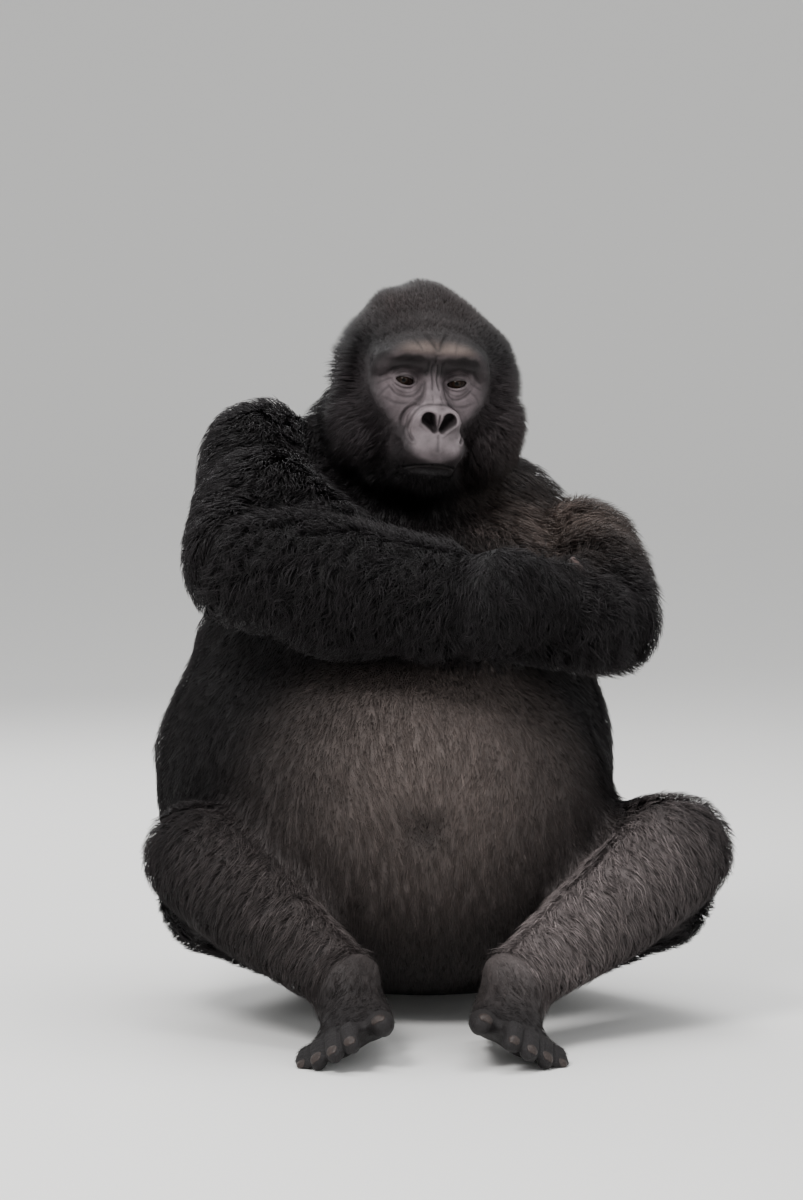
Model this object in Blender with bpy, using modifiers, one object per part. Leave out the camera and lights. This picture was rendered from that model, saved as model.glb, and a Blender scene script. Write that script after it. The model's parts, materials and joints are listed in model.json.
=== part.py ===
"""A mountain gorilla that sits on the ground with folded arms, life size, as separate solids.

Metres, +Z up. The animal faces -Y, and +X is its left side. The solids show the outline of the
coat, out to the tips of the hair. Soft forms are primitives melted together by a voxel remesh,
smoothed, and then parted where one limb presses on another.
"""
import math

import bmesh
import bpy
from mathutils import Euler, Matrix, Vector

# ---- Driving dimensions, in metres ----
GAP = 0.0006            # clearance left between two solids that meet
FOOT_DROP = 0.016       # a foot's own frame lies this far under the ankle joint
FLOOR_SINK = 0.006      # how far the soft underside is pressed flat
BODY_VOXEL = 0.009
LIMB_VOXEL = 0.005
HEAD_VOXEL = 0.0035
FOOT_VOXEL = 0.0038

TRUNK_TRIANGLES = 760
HEAD_TRIANGLES = 1700
EAR_TRIANGLES = 110
ARM_TRIANGLES = 640
LEG_TRIANGLES = 820
FINE_WEIGHT = 0.25      # how readily a hand, a foot or the face gives up triangles

EYE_RADIUS = 0.0136
EYE_PLACE = (0.0370, -0.1010, 0.0225)
HEAD_PLACE = Vector((-0.0195, -0.015, 0.873))
HEAD_TURN = Euler((math.radians(4.0), math.radians(4.5), math.radians(10.0)))
FULLER_SIDE = 0.020     # the head's coat stands out this much further on its left
# Temple and side of the crown, centre and radii: the crest of the skull leans to its right.
CROWN_SIDES = {
    -1: [((-0.034, 0.020, 0.030), (0.075, 0.112, 0.100)),
         ((-0.022, 0.028, 0.066), (0.070, 0.104, 0.076))],
    1: [((0.073, 0.020, 0.022), (0.074, 0.112, 0.088)),
        ((0.040, 0.028, 0.058), (0.067, 0.104, 0.073))]}

# Joint centres: right is the animal's own right, at -X.
RIGHT_ARM = dict(
    shoulder=Vector((-0.232, 0.105, 0.768)), elbow=Vector((-0.262, -0.225, 0.648)),
    wrist=Vector((0.060, -0.300, 0.600)), knuckles=Vector((0.162, -0.262, 0.606)),
    tips=Vector((0.212, -0.145, 0.628)))
LEFT_ARM = dict(
    shoulder=Vector((0.205, 0.105, 0.622)), elbow=Vector((0.244, -0.190, 0.562)),
    wrist=Vector((-0.050, -0.200, 0.590)), knuckles=Vector((-0.135, -0.155, 0.590)),
    tips=Vector((-0.205, -0.080, 0.595)))
RIGHT_LEG = dict(
    hip=Vector((-0.150, 0.060, 0.135)), knee=Vector((-0.318, -0.175, 0.240)),
    ankle=Vector((-0.114, -0.380, 0.098)))
LEFT_LEG = dict(
    hip=Vector((0.150, 0.060, 0.135)), knee=Vector((0.340, -0.185, 0.250)),
    ankle=Vector((0.114, -0.372, 0.098)))


# ---- Small modelling helpers ----
def clear_scene():
    """Removes the objects that a new Blender file holds."""
    for obj in list(bpy.data.objects):
        bpy.data.objects.remove(obj)


def new_collection(name, shown=True):
    collection = bpy.data.collections.new(name)
    bpy.context.scene.collection.children.link(collection)
    collection.hide_render = not shown
    return collection


def surface(name, colour, roughness):
    """A Principled material."""
    material = bpy.data.materials.new(name)
    material.use_nodes = True
    shader = material.node_tree.nodes["Principled BSDF"]
    shader.inputs["Base Color"].default_value = (*colour, 1.0)
    shader.inputs["Roughness"].default_value = roughness
    return material


def blob(centre, radii, turn=(0.0, 0.0, 0.0), around=28):
    """An ellipsoid of these radii, turned by degrees about X, Y and Z."""
    bpy.ops.mesh.primitive_uv_sphere_add(segments=around, ring_count=around // 2 + 2, radius=1.0)
    obj = bpy.context.object
    spin = Euler([math.radians(angle) for angle in turn]).to_matrix().to_4x4()
    obj.data.transform(Matrix.Translation(centre) @ spin @ Matrix.Diagonal((*radii, 1.0)))
    return obj


def taper(start, end, start_radius, end_radius):
    """A cone between two balls, all overlapping."""
    start, end = Vector(start), Vector(end)
    along = end - start
    bpy.ops.mesh.primitive_cone_add(
        vertices=28, radius1=start_radius, radius2=end_radius, depth=along.length)
    cone = bpy.context.object
    spin = Vector((0, 0, 1)).rotation_difference(along).to_matrix().to_4x4()
    cone.data.transform(Matrix.Translation((start + end) / 2) @ spin)
    return [cone, blob(start, (start_radius,) * 3), blob(end, (end_radius,) * 3)]


def chain(points, radii):
    """Tapers from point to point."""
    made = []
    for i in range(len(points) - 1):
        made += taper(points[i], points[i + 1], radii[i], radii[i + 1])
    return made


def join(name, shapes):
    """One mesh object that holds all the shapes."""
    bpy.ops.object.select_all(action="DESELECT")
    for shape in shapes:
        shape.select_set(True)
    bpy.context.view_layer.objects.active = shapes[0]
    bpy.ops.object.join()
    shapes[0].name = name
    return shapes[0]


def freeze(obj):
    """Applies every modifier, and returns the object."""
    bpy.context.view_layer.update()
    evaluated = obj.evaluated_get(bpy.context.evaluated_depsgraph_get())
    mesh = bpy.data.meshes.new_from_object(evaluated)
    obj.modifiers.clear()
    obj.data = mesh
    return obj


def thin_out(obj, triangles, is_fine):
    """Cuts the mesh down to this many triangles, and leaves the fine places denser."""
    thin = obj.modifiers.new("thin", "DECIMATE")
    thin.ratio = triangles / sum(len(face.vertices) - 2 for face in obj.data.polygons)
    if is_fine:
        coarse = obj.vertex_groups.new(name="coarse")
        fine = [v.index for v in obj.data.vertices if is_fine(v.co)]
        coarse.add(range(len(obj.data.vertices)), 1.0, "REPLACE")
        coarse.add(fine, FINE_WEIGHT, "REPLACE")
        thin.vertex_group = coarse.name
    relax = obj.modifiers.new("relax", "SMOOTH")
    relax.factor = 0.25
    relax.iterations = 1
    freeze(obj)
    obj.vertex_groups.clear()
    return obj


def fuse(name, shapes, voxel, smoothing, triangles, hollows=(), is_fine=None):
    """Melts overlapping shapes into one smooth skin, with the hollows pressed in."""
    obj = join(name, shapes)
    melt = obj.modifiers.new("melt", "REMESH")
    melt.mode = "VOXEL"
    melt.voxel_size = voxel
    freeze(obj)
    for hollow in hollows:
        subtract(obj, hollow)
    melt = obj.modifiers.new("even", "REMESH")
    melt.mode = "VOXEL"
    melt.voxel_size = voxel
    soften = obj.modifiers.new("soften", "SMOOTH")
    soften.factor = 0.5
    soften.iterations = smoothing
    freeze(obj)
    return thin_out(obj, triangles, is_fine)


def subtract(obj, cutter):
    """Takes the cutter's volume out of the object and removes the cutter."""
    cut = obj.modifiers.new("cut", "BOOLEAN")
    cut.operation = "DIFFERENCE"
    cut.solver = "EXACT"
    cut.object = cutter
    freeze(obj)
    bpy.data.objects.remove(cutter)


def copy_of(obj, name):
    twin = bpy.data.objects.new(name, obj.data.copy())
    bpy.context.scene.collection.objects.link(twin)
    return twin


def grown(obj):
    """A copy that is larger by the clearance."""
    twin = copy_of(obj, "grown")
    swell = twin.modifiers.new("swell", "DISPLACE")
    swell.strength = GAP
    swell.mid_level = 0.0
    return freeze(twin)


def press(obj, *stamps):
    """Pushes the shape of each stamp into the object. A stamp is a solid and its clearance."""
    for stamp in stamps:
        subtract(obj, copy_of(stamp, "stamp"))


def islands(obj):
    """The mesh's separate bodies as objects, largest first. The object itself is removed."""
    bpy.ops.object.select_all(action="DESELECT")
    obj.select_set(True)
    bpy.context.view_layer.objects.active = obj
    bpy.ops.mesh.separate(type="LOOSE")
    found = list(bpy.context.selected_objects)

    def volume(body):
        mesh = bmesh.new()
        mesh.from_mesh(body.data)
        size = mesh.calc_volume()
        mesh.free()
        return size

    return sorted(found, key=volume, reverse=True)


def keep_largest(obj, name):
    """Drops the crumbs that a cut left."""
    first, *crumbs = islands(obj)
    for crumb in crumbs:
        bpy.data.objects.remove(crumb)
    first.name = name
    return first


def blade(centre, normal, radius):
    """A thin round knife."""
    bpy.ops.mesh.primitive_cylinder_add(vertices=32, radius=radius, depth=GAP)
    knife = bpy.context.object
    spin = Vector((0, 0, 1)).rotation_difference(Vector(normal)).to_matrix().to_4x4()
    knife.data.transform(Matrix.Translation(centre) @ spin)
    return knife


def part_at(obj, cuts, names_and_places):
    """Cuts the object with round knives and names the large body nearest to each place."""
    for centre, normal, radius in cuts:
        subtract(obj, blade(centre, normal, radius))
    bodies = islands(obj)[:len(names_and_places)]
    for name, place in names_and_places.items():
        nearest = min(bodies, key=lambda body: distance_to(body, place))
        nearest.name = name
        bodies.remove(nearest)
    for crumb in [o for o in bpy.context.selected_objects if o.name not in names_and_places]:
        bpy.data.objects.remove(crumb)
    return [bpy.data.objects[name] for name in names_and_places]


def distance_to(obj, place):
    total = Vector()
    for vertex in obj.data.vertices:
        total += vertex.co
    return (total / len(obj.data.vertices) - place).length


def slab(low, high):
    """A box between two corners."""
    bpy.ops.mesh.primitive_cube_add(size=1.0)
    box = bpy.context.object
    low, high = Vector(low), Vector(high)
    box.data.transform(Matrix.Translation((low + high) / 2) @ Matrix.Diagonal((*(high - low), 1.0)))
    return box


def level_underside(obj):
    """Cuts off what is below the floor, so that the object stands on flats."""
    subtract(obj, slab((-1, -1, -0.3), (1, 1, 0)))


# ---- Head, in its own frame: origin between the ears, the face towards -Y ----
def head_place():
    return Matrix.Translation(HEAD_PLACE) @ HEAD_TURN.to_matrix().to_4x4()


def brow(side):
    """One half of the heavy ridge over the eyes."""
    return chain(
        [(0, -0.112, 0.056), (side * 0.040, -0.114, 0.060), (side * 0.074, -0.090, 0.044)],
        [0.019, 0.021, 0.019])


def head_side_shapes(side):
    """Temple, side of the crown, hairy cheek, cheekbone, nostril wing and lip of one side."""
    return [
        *[blob(centre, radii) for centre, radii in CROWN_SIDES[side]],
        blob((side * 0.065 + FULLER_SIDE, -0.002, -0.045), (0.072, 0.098, 0.090)),
        blob((side * 0.056, -0.076, -0.010), (0.042, 0.037, 0.038)),
        blob((side * 0.020, -0.150, -0.026), (0.0195, 0.022, 0.0205)),
        blob((side * 0.026, -0.128, -0.064), (0.032, 0.044, 0.026)),
        blob((side * 0.024, -0.112, -0.104), (0.034, 0.044, 0.024)),
        *brow(side)]


def head_shapes():
    shapes = [
        blob((0.018, 0.018, 0.032), (0.112, 0.128, 0.106)),         # brain case
        blob((0.007, 0.036, 0.078), (0.064, 0.100, 0.080)),         # crest of the skull
        blob((0, -0.070, 0.066), (0.082, 0.052, 0.048)),            # forehead
        blob((0, -0.060, -0.025), (0.072, 0.068, 0.074)),           # middle of the face
        blob((0, -0.116, -0.060), (0.046, 0.060, 0.035)),           # upper lip
        blob((0, -0.098, -0.110), (0.050, 0.064, 0.036)),           # lower jaw
        blob((0, -0.112, -0.122), (0.036, 0.036, 0.025)),           # chin
        blob((0, -0.030, -0.106), (0.086, 0.090, 0.060)),           # throat
        blob((0, -0.157, -0.018), (0.016, 0.017, 0.015)),           # tip of the nose
        *taper((0, -0.104, 0.036), (0, -0.140, -0.014), 0.014, 0.019)]
    for side in (-1, 1):
        shapes += head_side_shapes(side)
    return shapes


def head_hollows():
    """Eye sockets, nostrils and the line of the mouth."""
    hollows = []
    for side in (-1, 1):
        hollows.append(blob((side * 0.037, -0.126, 0.0225), (0.021, 0.017, 0.0145)))
        hollows.append(blob((side * 0.0130, -0.173, -0.029), (0.0105, 0.015, 0.0105)))
    return hollows + [blob((0, -0.137, -0.0865), (0.052, 0.044, 0.0032))]


def eye(side, place, name, material):
    """An eyeball in its socket."""
    x, y, z = EYE_PLACE
    ball = blob((side * x, y, z), (EYE_RADIUS,) * 3, around=14)
    ball.data.transform(place)
    ball.name = name
    ball.data.materials.append(material)
    ball.data.shade_smooth()
    return ball


def ear(side, place, name):
    """A small round ear that lies close to the head."""
    flap = fuse(name, [
        blob((side * 0.1255 + FULLER_SIDE, 0.036, 0.012),
             (0.0080, 0.0185, 0.0260), (0, side * 8, side * 26)),
        blob((side * 0.1220 + FULLER_SIDE, 0.026, -0.004),
             (0.0085, 0.0120, 0.0150), (0, 0, side * 20))],
        0.0022, 3, EAR_TRIANGLES)
    flap.data.transform(place)
    return flap


def make_head():
    head = fuse("head", head_shapes(), HEAD_VOXEL, 7, HEAD_TRIANGLES, head_hollows(),
                is_fine=lambda spot: spot.y < -0.085)
    head.data.transform(head_place())
    return head


# ---- Trunk and neck ----
def make_trunk():
    """Pelvis, belly, chest, shoulder girdle and neck in one skin."""
    shapes = [
        blob((-0.010, 0.085, 0.150), (0.255, 0.195, 0.175)),        # pelvis
        blob((-0.020, -0.060, 0.300), (0.285, 0.262, 0.258)),       # belly
        blob((-0.020, -0.075, 0.230), (0.255, 0.238, 0.205)),       # low belly
        blob((-0.150, 0.030, 0.330), (0.248, 0.210, 0.255)),        # right flank
        blob((-0.120, 0.050, 0.450), (0.232, 0.190, 0.230)),        # right side of the ribs
        blob((0.080, 0.050, 0.350), (0.190, 0.195, 0.240)),         # left flank
        blob((-0.020, 0.120, 0.400), (0.260, 0.165, 0.270)),        # small of the back
        blob((-0.010, 0.045, 0.560), (0.258, 0.195, 0.200)),        # rib cage
        blob((-0.110, 0.060, 0.660), (0.160, 0.160, 0.130)),        # raised right side
        blob((0.105, 0.090, 0.600), (0.165, 0.150, 0.115)),         # left side
        blob((0.000, 0.130, 0.620), (0.235, 0.150, 0.200)),         # upper back
        *taper((-0.020, 0.120, 0.680), (-0.014, 0.082, 0.880), 0.140, 0.104),  # nape
        *taper((-0.180, 0.115, 0.720), (-0.050, 0.110, 0.800), 0.100, 0.100),
        *taper((0.150, 0.115, 0.635), (0.030, 0.115, 0.760), 0.092, 0.092),
        blob((-0.090, 0.070, 0.845), (0.072, 0.080, 0.078))]        # longer hair of the nape
    for side in (-1, 1):
        shapes.append(blob((side * 0.120, 0.110, 0.130), (0.150, 0.160, 0.145)))   # buttock
        shapes.append(blob((side * 0.090, -0.060, 0.610), (0.120, 0.100, 0.090)))  # breast
    return fuse("trunk", shapes, BODY_VOXEL, 22, TRUNK_TRIANGLES)


# ---- Arms ----
def hand_shapes(arm, side):
    """Palm, four fingers laid together and the thumb."""
    wrist, knuckles, tips = arm["wrist"], arm["knuckles"], arm["tips"]
    up = Vector((0, 0, 1))
    shapes = taper(wrist, knuckles, 0.044, 0.036)
    shapes += taper(wrist + up * 0.014, knuckles + up * 0.018, 0.036, 0.026)
    shapes += taper(wrist - up * 0.014, knuckles - up * 0.018, 0.036, 0.026)
    for i in range(4):
        spread = up * (0.033 - 0.022 * i)
        reach = 1.0 - 0.10 * abs(i - 1.3)
        middle = knuckles.lerp(tips, 0.5 * reach) + spread * 1.1
        end = knuckles.lerp(tips, reach) + spread
        shapes += chain([knuckles + spread, middle, end], [0.0150, 0.0140, 0.0115])
    thumb = wrist.lerp(knuckles, 0.35) + up * 0.036
    shapes += chain([thumb, thumb.lerp(knuckles + up * 0.062, 0.9)], [0.017, 0.012])
    return shapes


def right_arm_shapes():
    """The raised shoulder, and a shaggy forearm that crosses in front."""
    arm = RIGHT_ARM
    shoulder, elbow, wrist = arm["shoulder"], arm["elbow"], arm["wrist"]
    return [
        *taper(shoulder, elbow, 0.096, 0.088),
        *chain([elbow, elbow.lerp(wrist, 0.45), wrist], [0.088, 0.094, 0.084]),
        blob((-0.246, 0.045, 0.752), (0.092, 0.120, 0.112)),        # deltoid
        blob((-0.226, -0.100, 0.700), (0.108, 0.125, 0.108)),       # biceps and triceps
        blob((-0.150, -0.165, 0.680), (0.090, 0.085, 0.080)),       # crook of the elbow
        blob((-0.237, -0.190, 0.636), (0.112, 0.090, 0.100)),       # coat round the elbow
        blob((-0.115, -0.250, 0.612), (0.140, 0.078, 0.108)),       # coat on the forearm
        blob((0.010, -0.285, 0.600), (0.110, 0.068, 0.098)),
        blob((0.095, -0.272, 0.598), (0.085, 0.058, 0.086)),        # coat on the back of the hand
        *hand_shapes(arm, -1)]


def left_arm_shapes():
    """The lower shoulder, and a forearm tucked behind the right one."""
    arm = LEFT_ARM
    shoulder, elbow, wrist = arm["shoulder"], arm["elbow"], arm["wrist"]
    return [
        *taper(shoulder, elbow, 0.100, 0.084),
        *chain([elbow, elbow.lerp(wrist, 0.45), wrist], [0.082, 0.074, 0.058]),
        blob((0.205, 0.040, 0.622), (0.104, 0.125, 0.104)),         # deltoid
        blob((0.225, -0.070, 0.600), (0.096, 0.125, 0.098)),        # biceps and triceps
        blob((0.240, -0.160, 0.565), (0.084, 0.082, 0.096)),        # coat round the elbow
        blob((0.150, -0.195, 0.580), (0.110, 0.070, 0.082)),        # coat on the forearm
        *hand_shapes(arm, 1)]


def make_arm(name, arm, shapes):
    """The whole arm, from the shoulder to the finger tips."""
    fingers = arm["knuckles"].lerp(arm["tips"], 0.4)
    return fuse(name, shapes, LIMB_VOXEL, 8, ARM_TRIANGLES,
                is_fine=lambda spot: (spot - fingers).length < 0.09)


def part_arm(obj, arm, side_name):
    """Parts an arm at the elbow and the wrist."""
    shoulder, elbow, wrist = arm["shoulder"], arm["elbow"], arm["wrist"]
    upper = (elbow - shoulder).normalized()
    fore = (wrist - elbow).normalized()
    cuts = [(elbow + (fore - upper) * 0.035, upper + fore, 0.19), (wrist, fore, 0.125)]
    return part_at(obj, cuts, {
        side_name + "_upper_arm": shoulder.lerp(elbow, 0.4),
        side_name + "_forearm": elbow.lerp(wrist, 0.5),
        side_name + "_hand": arm["knuckles"]})


# ---- Legs ----
def foot_frame(leg, side):
    """Axes of a foot that rests on its outer edge: toes forwards, sole inwards and down."""
    toes = Vector((side * 0.24, -0.97, -0.015)).normalized()
    sole = Vector((-side * 0.48, -0.02, -0.86))
    sole = (sole - toes * sole.dot(toes)).normalized()
    across = toes.cross(sole)
    frame = Matrix((across, toes, -sole)).transposed().to_4x4()
    return Matrix.Translation(leg["ankle"] - Vector((0, 0, FOOT_DROP))) @ frame


def foot_shapes(leg, side):
    """Heel, instep, four toes and the big toe, which stands apart."""
    inner = -side
    shapes = [
        blob((0, -0.034, -0.036), (0.040, 0.047, 0.036)),
        *taper((0, -0.010, -0.018), (-inner * 0.004, 0.115, -0.046), 0.047, 0.027),
        blob((-inner * 0.004, 0.085, -0.047), (0.051, 0.066, 0.025)),
        blob((inner * 0.030, 0.030, -0.045), (0.026, 0.055, 0.026)),
        *chain([(inner * 0.026, 0.050, -0.048), (inner * 0.060, 0.110, -0.050),
                (inner * 0.070, 0.150, -0.055)], [0.026, 0.0205, 0.0175])]
    for i in range(4):
        x = inner * (0.026 - 0.0225 * i)
        length = 0.070 - 0.007 * abs(i - 1)
        start = Vector((x, 0.122 - 0.007 * i, -0.050))
        middle = start + Vector((-inner * 0.004 * (i - 1), length * 0.5, 0.010))
        end = start + Vector((-inner * 0.007 * (i - 1), length, -0.010))
        shapes += chain([start, middle, end], [0.0165, 0.0145, 0.0130])
    frame = foot_frame(leg, side)
    for shape in shapes:
        shape.data.transform(frame)
    return shapes


def make_leg(name, leg, side):
    """The whole leg, from the hip to the toes."""
    hip, knee, ankle = leg["hip"], leg["knee"], leg["ankle"]
    calf = knee.lerp(ankle, 0.40) + Vector((side * 0.004, 0.008, -0.006))
    thigh = hip.lerp(knee, 0.45) + Vector((side * 0.012, 0.010, -0.004))
    shapes = [
        *chain([hip, thigh, knee], [0.128, 0.124, 0.088]),
        *chain([knee, calf, ankle], [0.084, 0.080, 0.054]),
        blob(hip.lerp(knee, 0.70) + Vector((side * 0.020, 0.012, -0.040)), (0.100, 0.120, 0.090)),
        *foot_shapes(leg, side)]
    return fuse(name, shapes, FOOT_VOXEL, 7, LEG_TRIANGLES,
                is_fine=lambda spot: spot.y < ankle.y - 0.05)


def part_leg(obj, leg, side_name):
    """Parts a leg at the knee and the ankle."""
    hip, knee, ankle = leg["hip"], leg["knee"], leg["ankle"]
    thigh = (knee - hip).normalized()
    shin = (ankle - knee).normalized()
    cuts = [(knee + (shin - thigh) * 0.025, thigh + shin, 0.30), (ankle, shin, 0.115)]
    return part_at(obj, cuts, {
        side_name + "_thigh": hip.lerp(knee, 0.4),
        side_name + "_shin": knee.lerp(ankle, 0.5),
        side_name + "_foot": ankle + Vector((0, -0.09, -0.05))})


# ---- The animal ----
def settle(objects):
    """Brings the middle of the model's footprint to the origin."""
    corners = [obj.matrix_world @ v.co for obj in objects for v in obj.data.vertices]
    low = [min(c[i] for c in corners) for i in range(3)]
    high = [max(c[i] for c in corners) for i in range(3)]
    shift = Vector((-(low[0] + high[0]) / 2, -(low[1] + high[1]) / 2, 0))
    for obj in objects:
        obj.data.transform(Matrix.Translation(shift))


def main():
    clear_scene()
    coat = surface("coat", (0.030, 0.026, 0.027), 0.75)
    bare_skin = surface("bare_skin", (0.085, 0.072, 0.076), 0.55)
    eye_material = surface("eye", (0.035, 0.018, 0.010), 0.08)

    place = head_place()
    eyes = [eye(side, place, name + "_eye", eye_material)
            for side, name in ((-1, "right"), (1, "left"))]
    ears = [ear(side, place, name + "_ear") for side, name in ((-1, "right"), (1, "left"))]
    head = make_head()
    trunk = make_trunk()
    right_arm = make_arm("right_arm", RIGHT_ARM, right_arm_shapes())
    left_arm = make_arm("left_arm", LEFT_ARM, left_arm_shapes())
    legs = [make_leg("right_leg", RIGHT_LEG, -1), make_leg("left_leg", LEFT_LEG, 1)]

    limbs = [right_arm, left_arm, *legs]
    eye_stamps, ear_stamps, limb_stamps = ([grown(o) for o in group] for group in (eyes, ears, limbs))
    head_stamps = [grown(head), *ear_stamps]
    press(head, *eye_stamps, *ear_stamps)
    press(right_arm, *head_stamps)
    press(left_arm, *head_stamps, limb_stamps[0])
    press(trunk, *head_stamps, *limb_stamps)
    for stamp in (*eye_stamps, *head_stamps, *limb_stamps):
        bpy.data.objects.remove(stamp)
    for obj in (trunk, head, *limbs, *eyes, *ears):
        obj.data.transform(Matrix.Translation((0, 0, -FLOOR_SINK)))
    for obj in (trunk, *legs):
        level_underside(obj)

    neck_plane = Vector((0, 0.02, 0.735))
    knife = blade(neck_plane, (0, -0.40, 0.92), 0.30)
    subtract(trunk, knife)
    upper, lower = islands(trunk)[:2][::-1]
    upper.name, lower.name = "neck", "trunk"
    for crumb in [o for o in bpy.context.selected_objects if o not in (upper, lower)]:
        bpy.data.objects.remove(crumb)

    nodes = [keep_largest(head, "head"), upper, lower]
    nodes += part_arm(right_arm, RIGHT_ARM, "right")
    nodes += part_arm(left_arm, LEFT_ARM, "left")
    nodes += part_leg(legs[0], RIGHT_LEG, "right")
    nodes += part_leg(legs[1], LEFT_LEG, "left")
    for obj in nodes:
        bare = obj.name.endswith(("hand", "foot"))
        obj.data.materials.clear()
        obj.data.materials.append(bare_skin if bare else coat)
        obj.data.shade_smooth()
    for obj in ears:
        obj.data.materials.clear()
        obj.data.materials.append(bare_skin)
        obj.data.shade_smooth()
    nodes += ears + eyes
    settle(nodes)
    animal = new_collection("sitting_gorilla")
    for obj in nodes:
        for holder in list(obj.users_collection):
            holder.objects.unlink(obj)
        animal.objects.link(obj)


main()
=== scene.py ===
"""A sitting male mountain gorilla with folded arms: skin, eyes, nails, coat, floor, lights and camera."""

from __future__ import annotations

import json
import logging
import math
from collections.abc import Callable, Iterator
from contextlib import contextmanager
from dataclasses import astuple, dataclass
from enum import Enum

import bmesh
import bpy
import numpy as np
from mathutils import Euler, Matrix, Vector
from mathutils.bvhtree import BVHTree
from mathutils.kdtree import KDTree

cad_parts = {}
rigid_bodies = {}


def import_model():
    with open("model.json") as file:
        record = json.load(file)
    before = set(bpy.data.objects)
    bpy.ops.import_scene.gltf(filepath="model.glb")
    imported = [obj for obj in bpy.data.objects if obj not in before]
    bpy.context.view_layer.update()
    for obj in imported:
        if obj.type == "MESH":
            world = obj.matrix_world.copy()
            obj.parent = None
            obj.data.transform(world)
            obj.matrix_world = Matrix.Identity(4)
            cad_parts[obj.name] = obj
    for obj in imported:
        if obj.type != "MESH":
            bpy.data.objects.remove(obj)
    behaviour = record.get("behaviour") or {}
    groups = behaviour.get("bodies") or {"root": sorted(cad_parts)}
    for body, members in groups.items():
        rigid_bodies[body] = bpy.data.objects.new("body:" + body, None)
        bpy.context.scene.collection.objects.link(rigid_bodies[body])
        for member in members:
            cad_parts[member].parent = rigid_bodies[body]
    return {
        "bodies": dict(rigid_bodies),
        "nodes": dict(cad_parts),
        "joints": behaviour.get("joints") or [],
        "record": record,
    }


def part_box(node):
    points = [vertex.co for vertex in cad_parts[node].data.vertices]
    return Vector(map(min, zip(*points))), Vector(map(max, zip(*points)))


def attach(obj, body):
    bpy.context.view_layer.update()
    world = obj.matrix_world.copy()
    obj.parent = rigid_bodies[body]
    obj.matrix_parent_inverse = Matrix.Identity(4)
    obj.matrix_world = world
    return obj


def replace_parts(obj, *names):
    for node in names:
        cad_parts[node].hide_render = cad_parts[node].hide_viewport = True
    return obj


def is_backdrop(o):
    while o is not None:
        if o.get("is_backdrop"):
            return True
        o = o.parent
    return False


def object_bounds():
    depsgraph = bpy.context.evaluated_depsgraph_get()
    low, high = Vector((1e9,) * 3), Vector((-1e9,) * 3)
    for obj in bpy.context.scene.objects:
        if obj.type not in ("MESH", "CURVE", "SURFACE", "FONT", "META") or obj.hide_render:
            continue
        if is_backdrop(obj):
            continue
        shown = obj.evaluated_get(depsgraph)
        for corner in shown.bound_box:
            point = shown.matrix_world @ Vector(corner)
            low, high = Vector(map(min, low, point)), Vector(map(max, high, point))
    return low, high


log = logging.getLogger("gorilla")

Array = np.ndarray
Pair = tuple[float, float]
Triple = tuple[float, float, float]
Object, Mesh, Material = bpy.types.Object, bpy.types.Mesh, bpy.types.Material
Node, Socket = bpy.types.Node, bpy.types.NodeSocket

SEED = 7
MM = 0.001

FLESH = ["head", "neck", "trunk", "right_upper_arm", "right_forearm", "right_hand",
         "left_upper_arm", "left_forearm", "left_hand", "right_thigh", "right_shin",
         "right_foot", "left_thigh", "left_shin", "left_foot", "right_ear", "left_ear"]
FEET = ("right_foot", "left_foot")
EARS = ("right_ear", "left_ear")

BARE_SPOT = np.array((0.1909, -0.0441, 0.6439))    # a hairless patch where the right hand ends, painted pale pink as a highlight
NAVEL = np.array((-0.0207, -0.1684, 0.2854))


class Side(Enum):
    """The animal's own right is at -X."""

    RIGHT = -1
    LEFT = 1

    def __str__(self) -> str:
        """The word that the names of solids and pieces use."""
        return self.name.lower()


# ---------------------------------------------------------------- small tools
def unit(vectors: Array) -> Array:
    """Scales each row to length 1."""
    return vectors / np.maximum(np.linalg.norm(vectors, axis=-1, keepdims=True), 1e-9)


def step(low: float, high: float, value: Array) -> Array:
    """A smooth rise from 0 at low to 1 at high; low may lie above high, for a fall."""
    t = np.clip((value - low) / (high - low), 0.0, 1.0)
    return t * t * (3.0 - 2.0 * t)


def bell(value: Array, width: float) -> Array:
    """A bell curve of height 1 about zero."""
    return np.exp(-(value / width) ** 2)


def gap(points: Array, place: Array) -> Array:
    """How far each point is from one place."""
    return np.linalg.norm(points - place, axis=1)


def across(vectors: Array, normals: Array) -> Array:
    """The part of each row that lies in the surface, at length 1."""
    return unit(vectors - normals * (vectors * normals).sum(axis=1, keepdims=True))


def mix(colours: Array, amount: Array, target: Triple) -> None:
    """Takes rows of colours this far, from 0 to 1, towards one colour."""
    colours += np.clip(amount, 0, 1)[:, None] * (np.array(target) - colours)


def is_part(owner: Array, *names: str) -> Array:
    """Where the number of the solid is that of one of these."""
    return np.isin(owner, [FLESH.index(name) for name in names])


def box_of(name: str) -> tuple[Array, Array]:
    """The lowest and the highest corner of a solid."""
    low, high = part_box(name)
    return np.array(low), np.array(high)


def within(points: Array, low: Array, high: Array, margin: float = 0.0) -> Array:
    """Which points lie in a box grown by a margin."""
    return ((points > low - margin) & (points < high + margin)).all(axis=1)


def clear_selection() -> None:
    """Leaves nothing selected and no object active."""
    for obj in bpy.context.selected_objects:
        obj.select_set(False)
    bpy.context.view_layer.objects.active = None


def activate(obj: Object) -> None:
    """Selects one object alone and makes it active."""
    clear_selection()
    obj.select_set(True)
    bpy.context.view_layer.objects.active = obj


def show(obj: Object) -> Object:
    """Puts an object in the scene."""
    bpy.context.scene.collection.objects.link(obj)
    return obj


def duplicate(obj: Object) -> Object:
    """A copy of an object with its own mesh."""
    copy = obj.copy()
    copy.data = obj.data.copy()
    return show(copy)


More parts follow.
